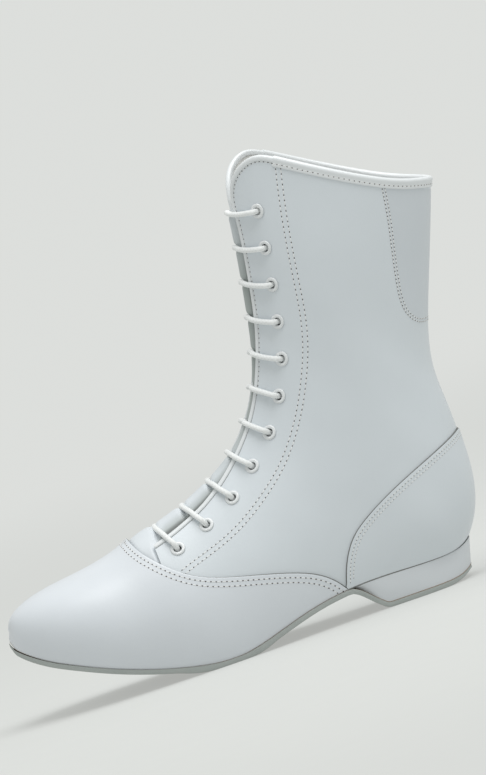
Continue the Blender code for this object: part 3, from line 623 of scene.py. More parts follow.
def soft_leather(name, tint, painted_shade_tint, reach):
    """Thin tongue leather, with painted shade up the shaft and at its sides beside the facings, and a painted
    shadow line in the slit next to them.
    """
    look = Look(name)
    uv = look.coordinates("UV")
    off_middle = look.axis(uv, "X") * 2 - 1
    part = off_middle.math("ABSOLUTE", off_middle, 0.0) * reach
    laced = look.ramp(look.axis(uv, "Y"), *LACED_PARTS)
    height = look.axis(look.coordinates(), "Z")
    shaft = look.ramp(height, *SHAFT_HEIGHTS) * (1 - look.ramp(height, *COLLAR_HEIGHTS) * 0.7)
    # Painted shade: darker towards the facings along the laced part, and up the shaft, less near the collar
    side = look.ramp(part, *SIDE_PARTS) * laced
    darker = side.math("MAXIMUM", side, shaft * 0.9)
    cloud = look.noise(60.0, 3.0)
    grain = look.noise(2200.0, 3.0, 0.6)
    fleck = cloud * 0.5 + grain * 0.5
    pale = look.mix(fleck, shade(tint, 0.93), shade(tint, 1.06))
    painted_shade_tone = look.mix(fleck, shade(painted_shade_tint, 0.88), shade(painted_shade_tint, 1.1))
    # Painted shadow: a dark line near the facings' edges for the shade in the slit between tongue and facings
    painted_slit_shadow = look.mix(fleck, shade(painted_shade_tint, 0.2), shade(painted_shade_tint, 0.3))
    slit_shadow_mask = look.ramp(part + shaft * 0.12, *SLIT_SHADOW_PARTS) * laced * 0.85
    return look.finish(
        base_color=look.mix(slit_shadow_mask, look.mix(darker, pale, painted_shade_tone), painted_slit_shadow),
        roughness=fleck * 0.1 + 0.45,
        normal=look.bump(grain, 0.2, 0.00012),
    )


def napped_lining(name, tint):
    """Soft lining with a short nap."""
    look = Look(name)
    nap = look.noise(1900.0, 4.0, 0.7)
    patch = look.noise(90.0, 2.0)
    return look.finish(
        base_color=look.mix(nap * 0.6 + patch * 0.4, shade(tint, 0.86), shade(tint, 1.10)),
        roughness=0.94,
        sheen_weight=0.25,
        normal=look.bump(nap, 0.55, 0.0004),
    )


def sole_leather(name, tint, scale):
    """Split leather with a fibrous, slightly streaked cut."""
    look = Look(name)
    at = look.node("ShaderNodeMapping", {}, {"Vector": look.coordinates(), "Scale": (1.0, 1.0, 5.0)})
    fibre = look.noise(scale, 5.0, 0.65, at)
    patch = look.noise(60.0, 3.0)
    return look.finish(
        base_color=look.mix(fibre * 0.6 + patch * 0.4, shade(tint, 0.78), shade(tint, 1.2)),
        roughness=fibre * 0.2 + 0.58,
        normal=look.bump(fibre, 0.35, 0.0003),
    )


def enamel(name, tint):
    """Paint on pressed metal, a little uneven."""
    look = Look(name)
    flow = look.noise(700.0, 2.0)
    return look.finish(
        base_color=look.mix(flow, shade(tint, 0.96), shade(tint, 1.03)),
        roughness=flow * 0.12 + 0.24,
        coat_weight=0.3,
        coat_roughness=0.12,
        normal=look.bump(flow, 0.12, 0.0002),
    )


def braided_cord(name, tint, turns, plaits):
    """Round braid: two sets of plaits that cross, read from the cord's own map."""
    look = Look(name)
    uv = look.coordinates("UV")
    around = look.axis(uv, "X") * (2 * math.pi * plaits)
    down = look.axis(uv, "Y") * (2 * math.pi * turns)
    left = (around + down).math("SINE", around + down, 0.0)
    right = (around - down).math("SINE", around - down, 0.0)
    weave = left.math("MAXIMUM", left, right) * 0.5 + 0.5
    fluff = look.noise(3000.0, 3.0, 0.7)
    return look.finish(
        base_color=look.mix(weave * 0.8 + fluff * 0.2, shade(tint, 0.93), shade(tint, 1.05)),
        roughness=0.66,
        sheen_weight=0.15,
        normal=look.bump(weave + fluff * 0.3, 0.25, 0.00015),
    )


def spun_thread(name, tint):
    look = Look(name)
    twist = look.noise(4200.0, 2.0)
    return look.finish(
        base_color=look.mix(twist, shade(tint, 0.9), shade(tint, 1.08)),
        roughness=0.55,
        normal=look.bump(twist, 0.3, 0.0001),
    )


# Dark matte finish: the overlays' raw cut edge, and painted shade for creases, grooves, needle holes and the
# seams above the sole
def dark_edge_and_shade(name, tint):
    look = Look(name)
    dust = look.noise(900.0, 3.0)
    return look.finish(base_color=look.mix(dust, shade(tint, 0.7), shade(tint, 1.4)), roughness=0.85)


def add_sheet(shape, points):
    """A grid of faces through an array of points of the drawing, in rows and columns."""
    rows, columns = points.shape[:2]
    spots = placed(points)
    made = bmesh.ops.create_grid(shape, x_segments=columns - 1, y_segments=rows - 1, size=0.5, calc_uvs=True)
    for vert in made["verts"]:
        column = round((vert.co.x + 0.5) * (columns - 1))
        row = round((vert.co.y + 0.5) * (rows - 1))
        vert.co = spots[row, column]
    return made["verts"]


def weld(shape, near=2e-5):
    bmesh.ops.remove_doubles(shape, verts=shape.verts, dist=near)
    bmesh.ops.dissolve_degenerate(shape, edges=shape.edges, dist=1e-6)


def add_tube(shape, points):
    """A closed bar from an array of points: each row is one turn of its section."""
    loop = np.concatenate([points, points[:, :1]], axis=1)
    verts = add_sheet(shape, loop)
    bmesh.ops.remove_doubles(shape, verts=verts, dist=1e-6)
    bmesh.ops.holes_fill(shape, edges=[edge for edge in shape.edges if edge.is_boundary], sides=0)
    bmesh.ops.recalc_face_normals(shape, faces=shape.faces)


def add_cord(shape, path, radius, sides=8, start=(0.3, 0.2, 1.0)):
    """A round bar along points of the drawing. Its first section is set square to start."""
    run = unit(np.gradient(path, axis=0))
    across = [unit(np.cross(run[0], start))]
    for direction in run[1:]:
        across.append(unit(across[-1] - direction * across[-1].dot(direction)))
    across = np.array(across)
    up = np.cross(run, across)
    turns = np.linspace(0, 2 * math.pi, sides, endpoint=False)[:, None]
    ring = across[:, None] * np.cos(turns) + up[:, None] * np.sin(turns)
    add_tube(shape, path[:, None] + ring * radius)


def face_along(shape, outwards):
    """Turn an open sheet so that most of its faces look the way that outwards gives at their middles."""
    bmesh.ops.recalc_face_normals(shape, faces=shape.faces)
    agree = sum(face.normal.dot(outwards(face.calc_center_median())) for face in shape.faces)
    if agree < 0:
        bmesh.ops.reverse_faces(shape, faces=shape.faces)


# The line inside the boot, in metres: level along the foot, then up the shaft, leaning back over its bend
HEART_X = 0.06
HEART_Z = 0.045
HEART_BEND_Z = 0.06
HEART_LEAN = 0.25
SHAFT_Z = 0.09


def from_heart(point):
    """Away from a line inside the boot, along the foot and then up the shaft."""
    heart_x = min(point.x, HEART_X + HEART_LEAN * max(point.z - HEART_BEND_Z, 0.0))
    in_shaft = point.x > heart_x - 1e-9 and point.z > SHAFT_Z
    heart_z = max(HEART_Z, point.z) if in_shaft else HEART_Z
    return (point - Vector((heart_x, 0.0, heart_z))).normalized()


def add_piece(name, shape, looks, nodes=()):
    """An object on the boot from a finished shape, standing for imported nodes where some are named."""
    data = bpy.data.meshes.new(name)
    shape.to_mesh(data)
    shape.free()
    for look in looks:
        data.materials.append(look)
    piece = bpy.data.objects.new(name, data)
    bpy.context.scene.collection.objects.link(piece)
    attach(piece, "root")
    if nodes:
        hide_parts(*nodes)
    smooth(piece)
    return piece


def smooth(piece, angle=46.0):
    piece.data.shade_smooth()
    piece.data.set_sharp_from_angle(angle=math.radians(angle))


def thicken(piece, thickness, outside, rounding, inner_slot=0, rim_slot=0):
    """Give a sheet its thickness and rounded rims, and keep the result as the piece's own mesh."""
    shell = piece.modifiers.new("thickness", "SOLIDIFY")
    shell.thickness = thickness
    shell.offset = 1.0 if outside else -1.0
    shell.use_rim = True
    shell.material_offset = inner_slot
    shell.material_offset_rim = rim_slot
    if rounding:
        edge = piece.modifiers.new("rounding", "BEVEL")
        edge.width = rounding
        edge.segments = 2
        edge.limit_method = "ANGLE"
        edge.angle_limit = math.radians(55)
    graph = bpy.context.evaluated_depsgraph_get()
    made = bpy.data.meshes.new_from_object(piece.evaluated_get(graph))
    piece.modifiers.clear()
    old = piece.data
    piece.data = made
    made.name = piece.name
    bpy.data.meshes.remove(old)
    smooth(piece)


def eyelet_spot(number, side):
    """The place and share of an eyelet, counted from the bottom of the lacing."""
    line = eyelet_line.evenly(EYELET_COUNT)
    return float(line.place[number]), float(line.share[number]) * (1.0 if side == LATERAL else EYELET_MEDIAL)


def bar_place(number, side, part):
    """The place of a bar on its way from the ridge, 0, to an eyelet, 1: it goes across first, then up."""
    ridge = float(bar_ridge.evenly(EYELET_COUNT).place[number])
    return between(ridge, eyelet_spot(number, side)[0], part ** BAR_CLIMB[side])


def bar_span(number):
    """A lace bar from one facing edge to the other: its ends, and its ridge with the way out of it."""
    middle = float(bar_ridge.evenly(EYELET_COUNT).place[number])
    ends = []
    for side, _ in SIDES:
        edge = float(throat_share(middle, side)) / eyelet_spot(number, side)[1]
        place = bar_place(number, side, edge)
        ends.append(skin(place, throat_share(place, side), side, BAR_LIFT))
    out = normals(np.array(middle), np.array(0.0), np.array(LATERAL))
    return ends, last(middle, 0.0, LATERAL), out


def bar_height(number):
    """How far over the last a bar crosses the middle of the throat."""
    return min(BAR_LOW + BAR_RISE * number, BAR_HIGH)


def bar_fullness(number):
    """How the tongue moves the middle of a bar from where it would lie if it were straight."""
    ends, ridge, out = bar_span(number)
    return ridge + out * bar_height(number) - (ends[0] + ends[1]) / 2


def eyelet_frame(number, side):
    """A matrix at an eyelet whose Z axis points out of the boot."""
    spot = [np.array(value) for value in eyelet_spot(number, side)]
    out = Vector(normals(*spot, np.array(side)))
    turn = Vector((0, 0, 1)).rotation_difference(out)
    return Matrix.Translation(placed(last(*spot, side))) @ turn.to_matrix().to_4x4()


class BootOperator:
    """What the boot's operators share."""

    bl_options = {"REGISTER", "UNDO"}

    def execute(self, context):
        self.sizes = context.scene.boot_sizes
        self.colours = context.scene.boot_colours
        self.build()
        return {"FINISHED"}


class BOOT_OT_quarters(BootOperator, bpy.types.Operator):
    """Quarters and shaft with their lining, punched for the eyelets"""

    bl_idname = "boot.quarters"
    bl_label = "Quarters"

    WALL_COLUMNS = 36
    FACING_COLUMNS = 14
    SHAFT_ROWS = 150
    TOE_ROWS = 30
    NOTCH_ROWS = 10
    PUNCH = 2.9
    PUNCH_DEPTH = 0.006

    def build(self):
        shape = bmesh.new()
        for side, _ in SIDES:
            self.add_side(shape, side)
        weld(shape)
        face_along(shape, from_heart)
        for side, _ in SIDES:
            for number in range(EYELET_COUNT):
                self.punch(shape, eyelet_frame(number, side))
        tints = self.colours
        looks = [
            smooth_leather("quarter_leather", tints.leather, 0.42),
            napped_lining("lining", tints.lining),
            smooth_leather("quarter_edge", shade(tints.leather, 0.9), 0.6),
        ]
        piece = add_piece("quarters", shape, looks, ["upper"])
        thicken(piece, self.sizes.wall, False, 0.0, inner_slot=1, rim_slot=2)

    def add_side(self, shape, side):
        notch = float(notch_edge.share_at(THROAT_PLACE))
        edge = float(throat_share(THROAT_PLACE, side))
        facing = (notch - edge) / (1 - edge)
        across = np.linspace(0, 1, self.WALL_COLUMNS + 1)[None, :]
        front = np.linspace(0, NOTCH_PLACE, self.TOE_ROWS + 1)
        notch_steps = np.linspace(0, 1, self.NOTCH_ROWS + 1)[1:] ** 1.6
        place = np.append(front, between(NOTCH_PLACE, THROAT_PLACE, notch_steps))[:, None]
        first = np.where(place > NOTCH_PLACE + 1e-6, notch_edge.share_at(place), 0.0)
        add_sheet(shape, last(*np.broadcast_arrays(place, between(first, 1.0, across)), side))
        facing_parts = facing * np.linspace(0, 1, self.FACING_COLUMNS + 1) ** 1.3
        for parts in (facing_parts, between(facing, 1.0, across[0])):
            along = np.linspace(0, 1, self.SHAFT_ROWS + 1)[:, None]
            place = between(THROAT_PLACE, rim(parts, side).place[None, :], along)
            share = between(throat_share(place, side), 1.0, parts[None, :])
            add_sheet(shape, last(place, share, side))

    def punch(self, shape, spot):
        """Open a round hole in the leather."""
        home = spot.inverted()
        near = self.PUNCH * MILLIMETRE
        inside = []
        for face in shape.faces:
            middle = home @ face.calc_center_median()
            if math.hypot(middle.x, middle.y) < near and abs(middle.z) < self.PUNCH_DEPTH:
                inside.append(face)
        ring = {vert for face in inside for vert in face.verts}
        bmesh.ops.delete(shape, geom=inside, context="FACES")
        for vert in ring:
            if vert.is_valid and vert.is_boundary:
                here = home @ vert.co
                reach = math.hypot(here.x, here.y)
                vert.co = spot @ Vector((here.x * near / reach, here.y * near / reach, here.z))


class BOOT_OT_overlays(BootOperator, bpy.types.Operator):
    """Vamp over the toe, counter round the heel and panel at the back of the shaft"""

    bl_idname = "boot.overlays"
    bl_label = "Vamp, counter and back panel"

    LIFT = 0.12
    PANEL_LIFT = 0.03
    PANEL_THICKNESS = 0.0001
    CREASE = 0.25
    ROUNDING = 0.00028
    COUNTER_FOOT = 0.98
    COUNTER_INSET = 0.02
    COUNTER_WELD = 2.5e-4
    VAMP_CREASE = 0.36

    def build(self):
        tints = self.colours
        edge = dark_edge_and_shade("overlay_edge", tints.cut_edge)
        vamp = add_piece(
            "vamp_leather", self.vamp(), [smooth_leather("vamp_leather", tints.vamp, 0.38), edge],
            ["vamp"],
        )
        thicken(vamp, self.sizes.overlay, True, self.ROUNDING, rim_slot=1)
        counter = add_piece(
            "counter_leather", self.counter(), [smooth_leather("counter_leather", tints.leather, 0.42), edge],
            ["heel_counter"],
        )
        thicken(counter, self.sizes.overlay, True, self.ROUNDING, rim_slot=1)
        panel = add_piece(
            "back_panel", self.panel(), [smooth_leather("panel_leather", tints.gore, 0.46)]
        )
        thicken(panel, self.PANEL_THICKNESS, True, 0.0)
        # Painted shade: dark cords tucked in the corners beside the vamp's and the counter's edges
        painted_corner_shade = dark_edge_and_shade("painted_corner_shade", tints.painted_corner_shade)
        for name, line in (("vamp", vamp_edge.cut(self.VAMP_CREASE, 1.0)), ("counter", counter_edge)):
            shape = bmesh.new()
            for side, _ in SIDES:
                add_cord(shape, line.on(side).beside(0.1).evenly(140).points(self.CREASE), self.CREASE)
            add_piece(f"{name}_crease", shape, [painted_corner_shade])

    def vamp(self):
        shape = bmesh.new()
        across = np.linspace(-1, 1, 97)[None, :]
        along = np.linspace(0, 1, 91)[:, None]
        share = np.abs(across) + 0 * along
        side = np.where(across < 0, LATERAL, MEDIAL) + 0 * share
        points = skin(vamp_edge.place_at(share) * along, share, side.astype(int), self.LIFT)
        points[0] = (points[0] + points[0, ::-1]) / 2
        add_sheet(shape, points)
        weld(shape)
        face_along(shape, from_heart)
        return shape

    def counter(self):
        shape = bmesh.new()
        first = float(counter_edge.place[0]) + self.COUNTER_INSET
        rest = float(counter_edge.place[-1]) - self.COUNTER_INSET
        along = ease(-0.25, 1.25, np.linspace(0, 1, 81))
        along = (along - along[0]) / (along[-1] - along[0])
        place = between(first, rest, along)[:, None]
        turn = np.interp(place, counter_edge.place, counter_edge.turn())
        high = turn / np.interp(place, CUT_PLACES, CUT_ANGLES)
        high = np.minimum(high, np.where(place < HEEL_END_PLACE, self.COUNTER_FOOT, 1.0))
        share = between(high, 1.0, np.linspace(0, 1, 41)[None, :])
        for side, _ in SIDES:
            add_sheet(shape, skin(place, share, side, self.LIFT))
        weld(shape, self.COUNTER_WELD)
        face_along(shape, from_heart)
        return shape

    def panel(self):
        shape = bmesh.new()
        line = gore_seam.evenly(60)
        across = np.linspace(0, 1, 17)[None, :]
        middle = np.linspace(line.place[0], line.place[-1], 60)[:, None]
        place = between(line.place[:, None], middle, across)
        share = between(line.share[:, None], 1.0, across)
        for side, _ in SIDES:
            add_sheet(shape, skin(place, share, side, self.PANEL_LIFT))
        weld(shape)
        face_along(shape, from_heart)
        return shape


class BOOT_OT_bindings(BootOperator, bpy.types.Operator):
    """Folded binding round the collar and rolled edge down the facings"""

    bl_idname = "boot.bindings"
    bl_label = "Collar binding and facing edges"

    # Distance below the rim and height over the last, round the section of each strip
    COLLAR_SECTION = [
        (4.5, 0.05), (4.45, 0.55), (4.1, 0.80), (3.4, 0.72), (2.4, 0.62), (1.4, 0.85), (0.5, 1.00),
        (-0.4, 0.75), (-1.05, 0.05), (-1.25, -0.90), (-1.05, -1.85), (-0.4, -2.55), (0.6, -2.75),
        (2.4, -2.55), (4.2, -2.5),
        (4.4, -1.85), (1.0, -1.85), (0.06, -1.80), (0.06, 0.02), (1.0, 0.02),
    ]
    FACING_SECTION = [
        (2.5, 0.02), (2.45, 0.35), (2.1, 0.62), (1.3, 0.72), (0.5, 0.68), (-0.1, 0.45), (-0.5, 0.0),
        (-0.65, -0.90), (-0.5, -1.80), (-0.1, -2.25), (0.8, -2.40), (2.2, -2.30), (2.3, -1.85),
        (0.8, -1.85), (0.05, -1.80), (0.05, 0.01), (0.8, 0.01),
    ]

    GROOVE_OFFSET = -2.6
    GROOVE_END = 0.42
    GROOVE_RADIUS = 0.1

    def build(self):
        tint = self.colours.trim
        shape = bmesh.new()
        tracks = [rim(np.linspace(BINDING_PART, 1.0, 110), side) for side, _ in SIDES]
        lateral, medial = (self.turns(track, self.COLLAR_SECTION) for track in tracks)
        add_tube(shape, np.concatenate([lateral, medial[::-1][1:]]))
        looks = [smooth_leather("binding_leather", tint, 0.44)]
        add_piece("collar_binding_fold", shape, looks, ["collar_binding"])
        # Painted shade: a thin dark cord in the groove beside each facing's edge, where shade falls
        groove_shade = dark_edge_and_shade("groove_shade", self.colours.painted_corner_shade)
        for side, name in SIDES:
            shape = bmesh.new()
            add_tube(shape, self.turns(facing_rim(side).evenly(260), self.FACING_SECTION))
            add_piece(f"facing_edge_{name}", shape, looks)
            shape = bmesh.new()
            line = facing_rim(side).cut(0.0, self.GROOVE_END).beside(self.GROOVE_OFFSET)
            add_cord(shape, line.points(0.0), self.GROOVE_RADIUS)
            add_piece(f"facing_groove_{name}", shape, [groove_shade])

    def turns(self, track, section):
        return np.stack([track.beside(-drop).points(lift) for drop, lift in section], axis=1)


class BOOT_OT_tongue(BootOperator, bpy.types.Operator):
    """Tongue behind the lacing, full between the facings and lower under them"""

    bl_idname = "boot.tongue"
    bl_label = "Tongue"

    FIRST_PLACE = 4.7
    LAST_PLACE = 20.5
    REACH = 2.5
    UNDER_BAR = 1.5
    BULGES = (2.6, 1.5)
    DENT = 0.1
    SLIT = 4.6
    SEAT = 7.0
    BASE_FRONT = 2.1
    BASE_REAR = 0.6

    def build(self):
        across = np.linspace(-1, 1, 49)[None, :]
        low = np.linspace(self.FIRST_PLACE, THROAT_PLACE + 1, 81)
        high = np.linspace(THROAT_PLACE + 1, self.LAST_PLACE, 260)[1:]
        place = np.append(low, high)[:, None]
        part = np.abs(across) * self.REACH
        lateral = throat_share(place, LATERAL)
        medial = between(throat_share(place, MEDIAL), lateral, 0.5)
        share = part * np.where(across < 0, lateral, medial)
        numbers = np.arange(-1, EYELET_COUNT + 1)
        crossed = bar_ridge.evenly(EYELET_COUNT).place
        bars = np.interp(place, np.concatenate([[crossed[0] - 1], crossed, [crossed[-1] + 1]]), numbers)
        heights = np.interp(bars, numbers, [bar_height(max(number, 0)) for number in numbers])
        pressed = np.exp(-(((bars - np.round(bars)) / self.DENT) ** 2))
        bulge = between(*self.BULGES, ease(1.5, 4.0, bars))
        middle = self.UNDER_BAR - heights - bulge * (1 - pressed)
        slit = np.maximum(middle, self.SLIT)
        depth = between(middle, slit, ease(0.3, 1.0, part))
        depth = between(depth, np.maximum(slit, self.SEAT), ease(1.0, 1.5, part))
        notch, vamp = notch_edge.place_at(share), vamp_edge.place_at(share)
        base = between(self.BASE_FRONT, self.BASE_REAR, ease(notch + 0.02, vamp + 0.06, place))
        tucked = ease(THROAT_PLACE - 0.12, THROAT_PLACE - 0.01, place) * ease(0.8, 1.0, part)
        base = between(base, self.BASE_FRONT, tucked)
        under = ease(THROAT_PLACE, THROAT_PLACE + 0.5, place)
        open_throat = ease(vamp_edge.place[0] + 0.1, THROAT_PLACE + 0.5, place)
        depth = between(base, depth, between(open_throat, under, ease(0.7, 1.0, part)))
        side = np.where(across < 0, LATERAL, MEDIAL) + np.zeros(share.shape, int)
        shape = bmesh.new()
        shape.loops.layers.uv.new("UVMap")
        add_sheet(shape, skin(place, share, side, -depth))
        weld(shape)
        face_along(shape, from_heart)
        looks = [
            soft_leather("tongue_leather", self.colours.tongue, self.colours.tongue_painted_shade, self.REACH),
            napped_lining("tongue_lining", self.colours.lining),
        ]
        piece = add_piece("tongue_leather", shape, looks, ["tongue"])
        thicken(piece, self.sizes.tongue, False, 0.0004, inner_slot=1)


class BOOT_OT_eyelets(BootOperator, bpy.types.Operator):
    """Painted eyelets, turned with a rolled flange, a barrel and a rolled back"""

    bl_idname = "boot.eyelets"
    bl_label = "Eyelets"

    STEPS = 32

    def section(self):
        """Radius and height round one ring, in metres."""
        bore, ring = self.sizes.bore, self.sizes.ring
        roll = (ring - bore) / 2
        middle = (ring + bore) / 2
        points = []
        for turn in np.linspace(0, math.pi, 9):
            points.append((middle + roll * math.cos(turn), 0.0001 + 0.0007 * math.sin(turn) ** 0.8))
        back = -self.sizes.wall
        for turn in np.linspace(math.pi, 2 * math.pi, 7):
            radius = middle - 0.0002 + 0.9 * roll * math.cos(turn)
            points.append((radius, back - 0.0001 + 0.0005 * math.sin(turn)))
        points += [(bore + 0.00045, back), (bore + 0.00045, 0.00012)]
        return points

    def build(self):
        paint = enamel("eyelet_enamel", self.colours.enamel)
        for side, name in SIDES:
            for number in range(EYELET_COUNT):
                shape = bmesh.new()
                verts = [shape.verts.new((radius, 0.0, height)) for radius, height in self.section()]
                for a, b in zip(verts, verts[1:] + verts[:1]):
                    shape.edges.new((a, b))
                bmesh.ops.spin(
                    shape, geom=shape.verts[:] + shape.edges[:], cent=(0, 0, 0), axis=(0, 0, 1),
                    angle=2 * math.pi, steps=self.STEPS, use_merge=True,
                )
                weld(shape, 1e-6)
                bmesh.ops.recalc_face_normals(shape, faces=shape.faces)
                bmesh.ops.transform(shape, matrix=eyelet_frame(number, side), verts=shape.verts)
                node = f"eyelet_{name}_{number + 1:02d}"
                add_piece(f"ring_{name}_{number + 1:02d}", shape, [paint], [node])


class BOOT_OT_lace(BootOperator, bpy.types.Operator):
    """Round cord, a bar over the throat at each pair of eyelets and short runs inside the facings"""

    bl_idname = "boot.lace"
    bl_label = "Lace"

    # Distance from the eyelet's middle and height over the last, from the bar down through the ring
    TURN = [(3.5, 2.7), (1.5, 2.2), (0.75, 0.6), (0.6, -1.2), (0.4, -3.0)]
    RUN_DEPTH = 4.4
    SIDES_ROUND = 16
    STEP = 0.7
    PLAIT_LENGTH = 2.4
    PLAITS = 4

    def turn_points(self, number, side, towards):
        """The path at one eyelet, from the bar down through the ring."""
        spot = [np.array(value) for value in eyelet_spot(number, side)]
        centre = last(*spot, side)
        out = normals(*spot, np.array(side))
        flat = towards - centre
        flat = unit(flat - out * flat.dot(out))
        return [centre + flat * reach + out * height for reach, height in self.TURN]

    def bar_points(self, number):
        left, right = bar_span(number)[0]
        ridge = float(bar_ridge.evenly(EYELET_COUNT).place[number])
        points = []
        for part in np.linspace(0, 1, 7):
            points.append(between(left, right, part) + 4 * part * (1 - part) * bar_fullness(number))
        outer = []
        for side, _ in SIDES:
            share = eyelet_spot(number, side)[1]
            edge = float(throat_share(ridge, side)) / share
            part = between(edge, 0.86, 0.55)
            outer.append(skin(bar_place(number, side, part), share * part, side, BAR_LIFT))
        return [outer[0], *points, outer[1]]

    def path(self):
        path = []
        for number in range(EYELET_COUNT):
            bar = self.bar_points(number)
            row = self.turn_points(number, LATERAL, bar[0])[::-1] + bar
            row += self.turn_points(number, MEDIAL, bar[-1])
            leaving = LATERAL if number % 2 else MEDIAL
            path += row[::-1] if leaving == LATERAL else row
            if number < EYELET_COUNT - 1:
                here, there = eyelet_spot(number, leaving), eyelet_spot(number + 1, leaving)
                for part in (0.18, 0.5, 0.82):
                    spot = between(here[0], there[0], part), between(here[1], there[1], part)
                    path.append(skin(*spot, leaving, -self.RUN_DEPTH))
        return np.array(path)

    def rounded(self, path):
        """The path with its corners cut three times and points at even steps."""
        for _ in range(3):
            early = between(path[:-1], path[1:], 0.25)
            late = between(path[:-1], path[1:], 0.75)
            inner = np.stack([early, late], 1).reshape(-1, 3)
            path = np.concatenate([path[:1], inner[1:-1], path[-1:]])
        reach = np.concatenate([[0], np.cumsum(np.linalg.norm(np.diff(path, axis=0), axis=1))])
        wanted = np.linspace(0, reach[-1], round(reach[-1] / self.STEP))
        return np.stack([np.interp(wanted, reach, path[:, axis]) for axis in range(3)], -1), reach[-1]

    def build(self):
        path, reach = self.rounded(self.path())
        shape = bmesh.new()
        shape.loops.layers.uv.new("UVMap")
        add_cord(shape, path, self.sizes.cord / MILLIMETRE / 2, self.SIDES_ROUND, (0.0, 0.0, 1.0))
        looks = [braided_cord("lace_cord", self.colours.cord, reach / self.PLAIT_LENGTH, self.PLAITS)]
        add_piece("lace_braid", shape, looks, ["lace"])


class BOOT_OT_stitching(BootOperator, bpy.types.Operator):
    """Rows of stitches with their needle holes, along every seam that shows"""

    bl_idname = "boot.stitching"
    bl_label = "Stitching"

    OVERLAY_TOP = 1.22
    PANEL_TOP = 0.13
    HOLE_DEPTH = 0.0003

    def rows(self, side):
        """For a side: seam, line, distance beside it, height over the last, stitch length and hole size."""
        pitch = self.sizes.pitch / MILLIMETRE
        top = self.OVERLAY_TOP
        facing = facing_rim(side)
        collar = rim(np.linspace(BINDING_PART, 1.0, 110), side)
        counter = counter_edge.on(side)
        return [
            ("vamp", vamp_edge.on(side).cut(0.0, 0.985), -2.3, top, pitch, 1.0),
            ("vamp", vamp_edge.on(side).cut(0.0, 0.97), -4.9, top, pitch, 1.0),
            ("counter", counter.cut(0.03, 0.995), -1.9, top, 0.74 * pitch, 0.6),
            ("counter", counter.cut(0.05, 0.99), -3.75, top, 0.74 * pitch, 0.48),
            ("facing", facing_seam.on(side), 0.0, 0.0, pitch, 0.9),
            ("facing", facing_seam.on(side), -2.9, 0.0, pitch, 0.9),
            ("facing", facing.cut(0.4, 1.0), -2.9, 0.0, 0.9 * pitch, 0.8),
            ("collar", collar, -2.9, 0.66, pitch, 0.8),
            ("panel", gore_seam.on(side), 0.0, self.PANEL_TOP, 0.75 * pitch, 0.75),
            ("panel", gore_seam.on(side).cut(0.0, 0.98), 1.6, self.PANEL_TOP, 0.75 * pitch, 0.75),
        ]

    def build(self):
        thread = spun_thread("thread", self.colours.thread)
        # Painted shade: dark discs, sunk a little, stand for the shade inside the needle holes
        dark = dark_edge_and_shade("needle_hole_shade", self.colours.seam)
        seams = {}
        for side, _ in SIDES:
            for name, line, offset, lift, pitch, hole in self.rows(side):
                threads, holes = seams.setdefault(name, (bmesh.new(), bmesh.new()))
                self.sew(threads, holes, line.beside(offset), lift, pitch, hole)
        for name, (threads, holes) in seams.items():
            add_piece(f"{name}_stitches", threads, [thread])
            add_piece(f"{name}_needle_holes", holes, [dark])

    def sew(self, threads, holes, line, lift, pitch, hole):
        """Beads of thread along a line, with a dark disc between each two, painted shade standing for the
        needle hole.
        """
        line = line.stepped(pitch)
        spots = placed(line.points(lift))
        outs = line.out()
        runs = unit(np.gradient(spots, axis=0))
        width = self.sizes.thread
        for i, (spot, out, run) in enumerate(zip(spots, outs, runs)):
            basis = Matrix((np.cross(run, out), out, run)).transposed().to_4x4()
            stand = Matrix((run, np.cross(out, run), out)).transposed().to_4x4()
            size = Matrix.Diagonal((0.66 * width * hole, 0.5 * width * hole, self.HOLE_DEPTH, 1.0))
            sink = Vector(out) * (self.HOLE_DEPTH / 2 - 0.00008)
            bmesh.ops.create_cone(
                holes, cap_ends=True, segments=7, radius1=1.0, radius2=1.0, depth=1.0,
                matrix=Matrix.Translation(Vector(spot) - sink) @ stand @ size,
            )
            if i + 1 < len(spots):
                middle = (Vector(spot) + Vector(spots[i + 1])) / 2
                size = Matrix.Diagonal((width / 2, 0.3 * width, 0.36 * pitch * MILLIMETRE, 1.0))
                bmesh.ops.create_uvsphere(
                    threads, u_segments=6, v_segments=5, radius=1.0,
                    matrix=Matrix.Translation(middle) @ basis @ size,
                )


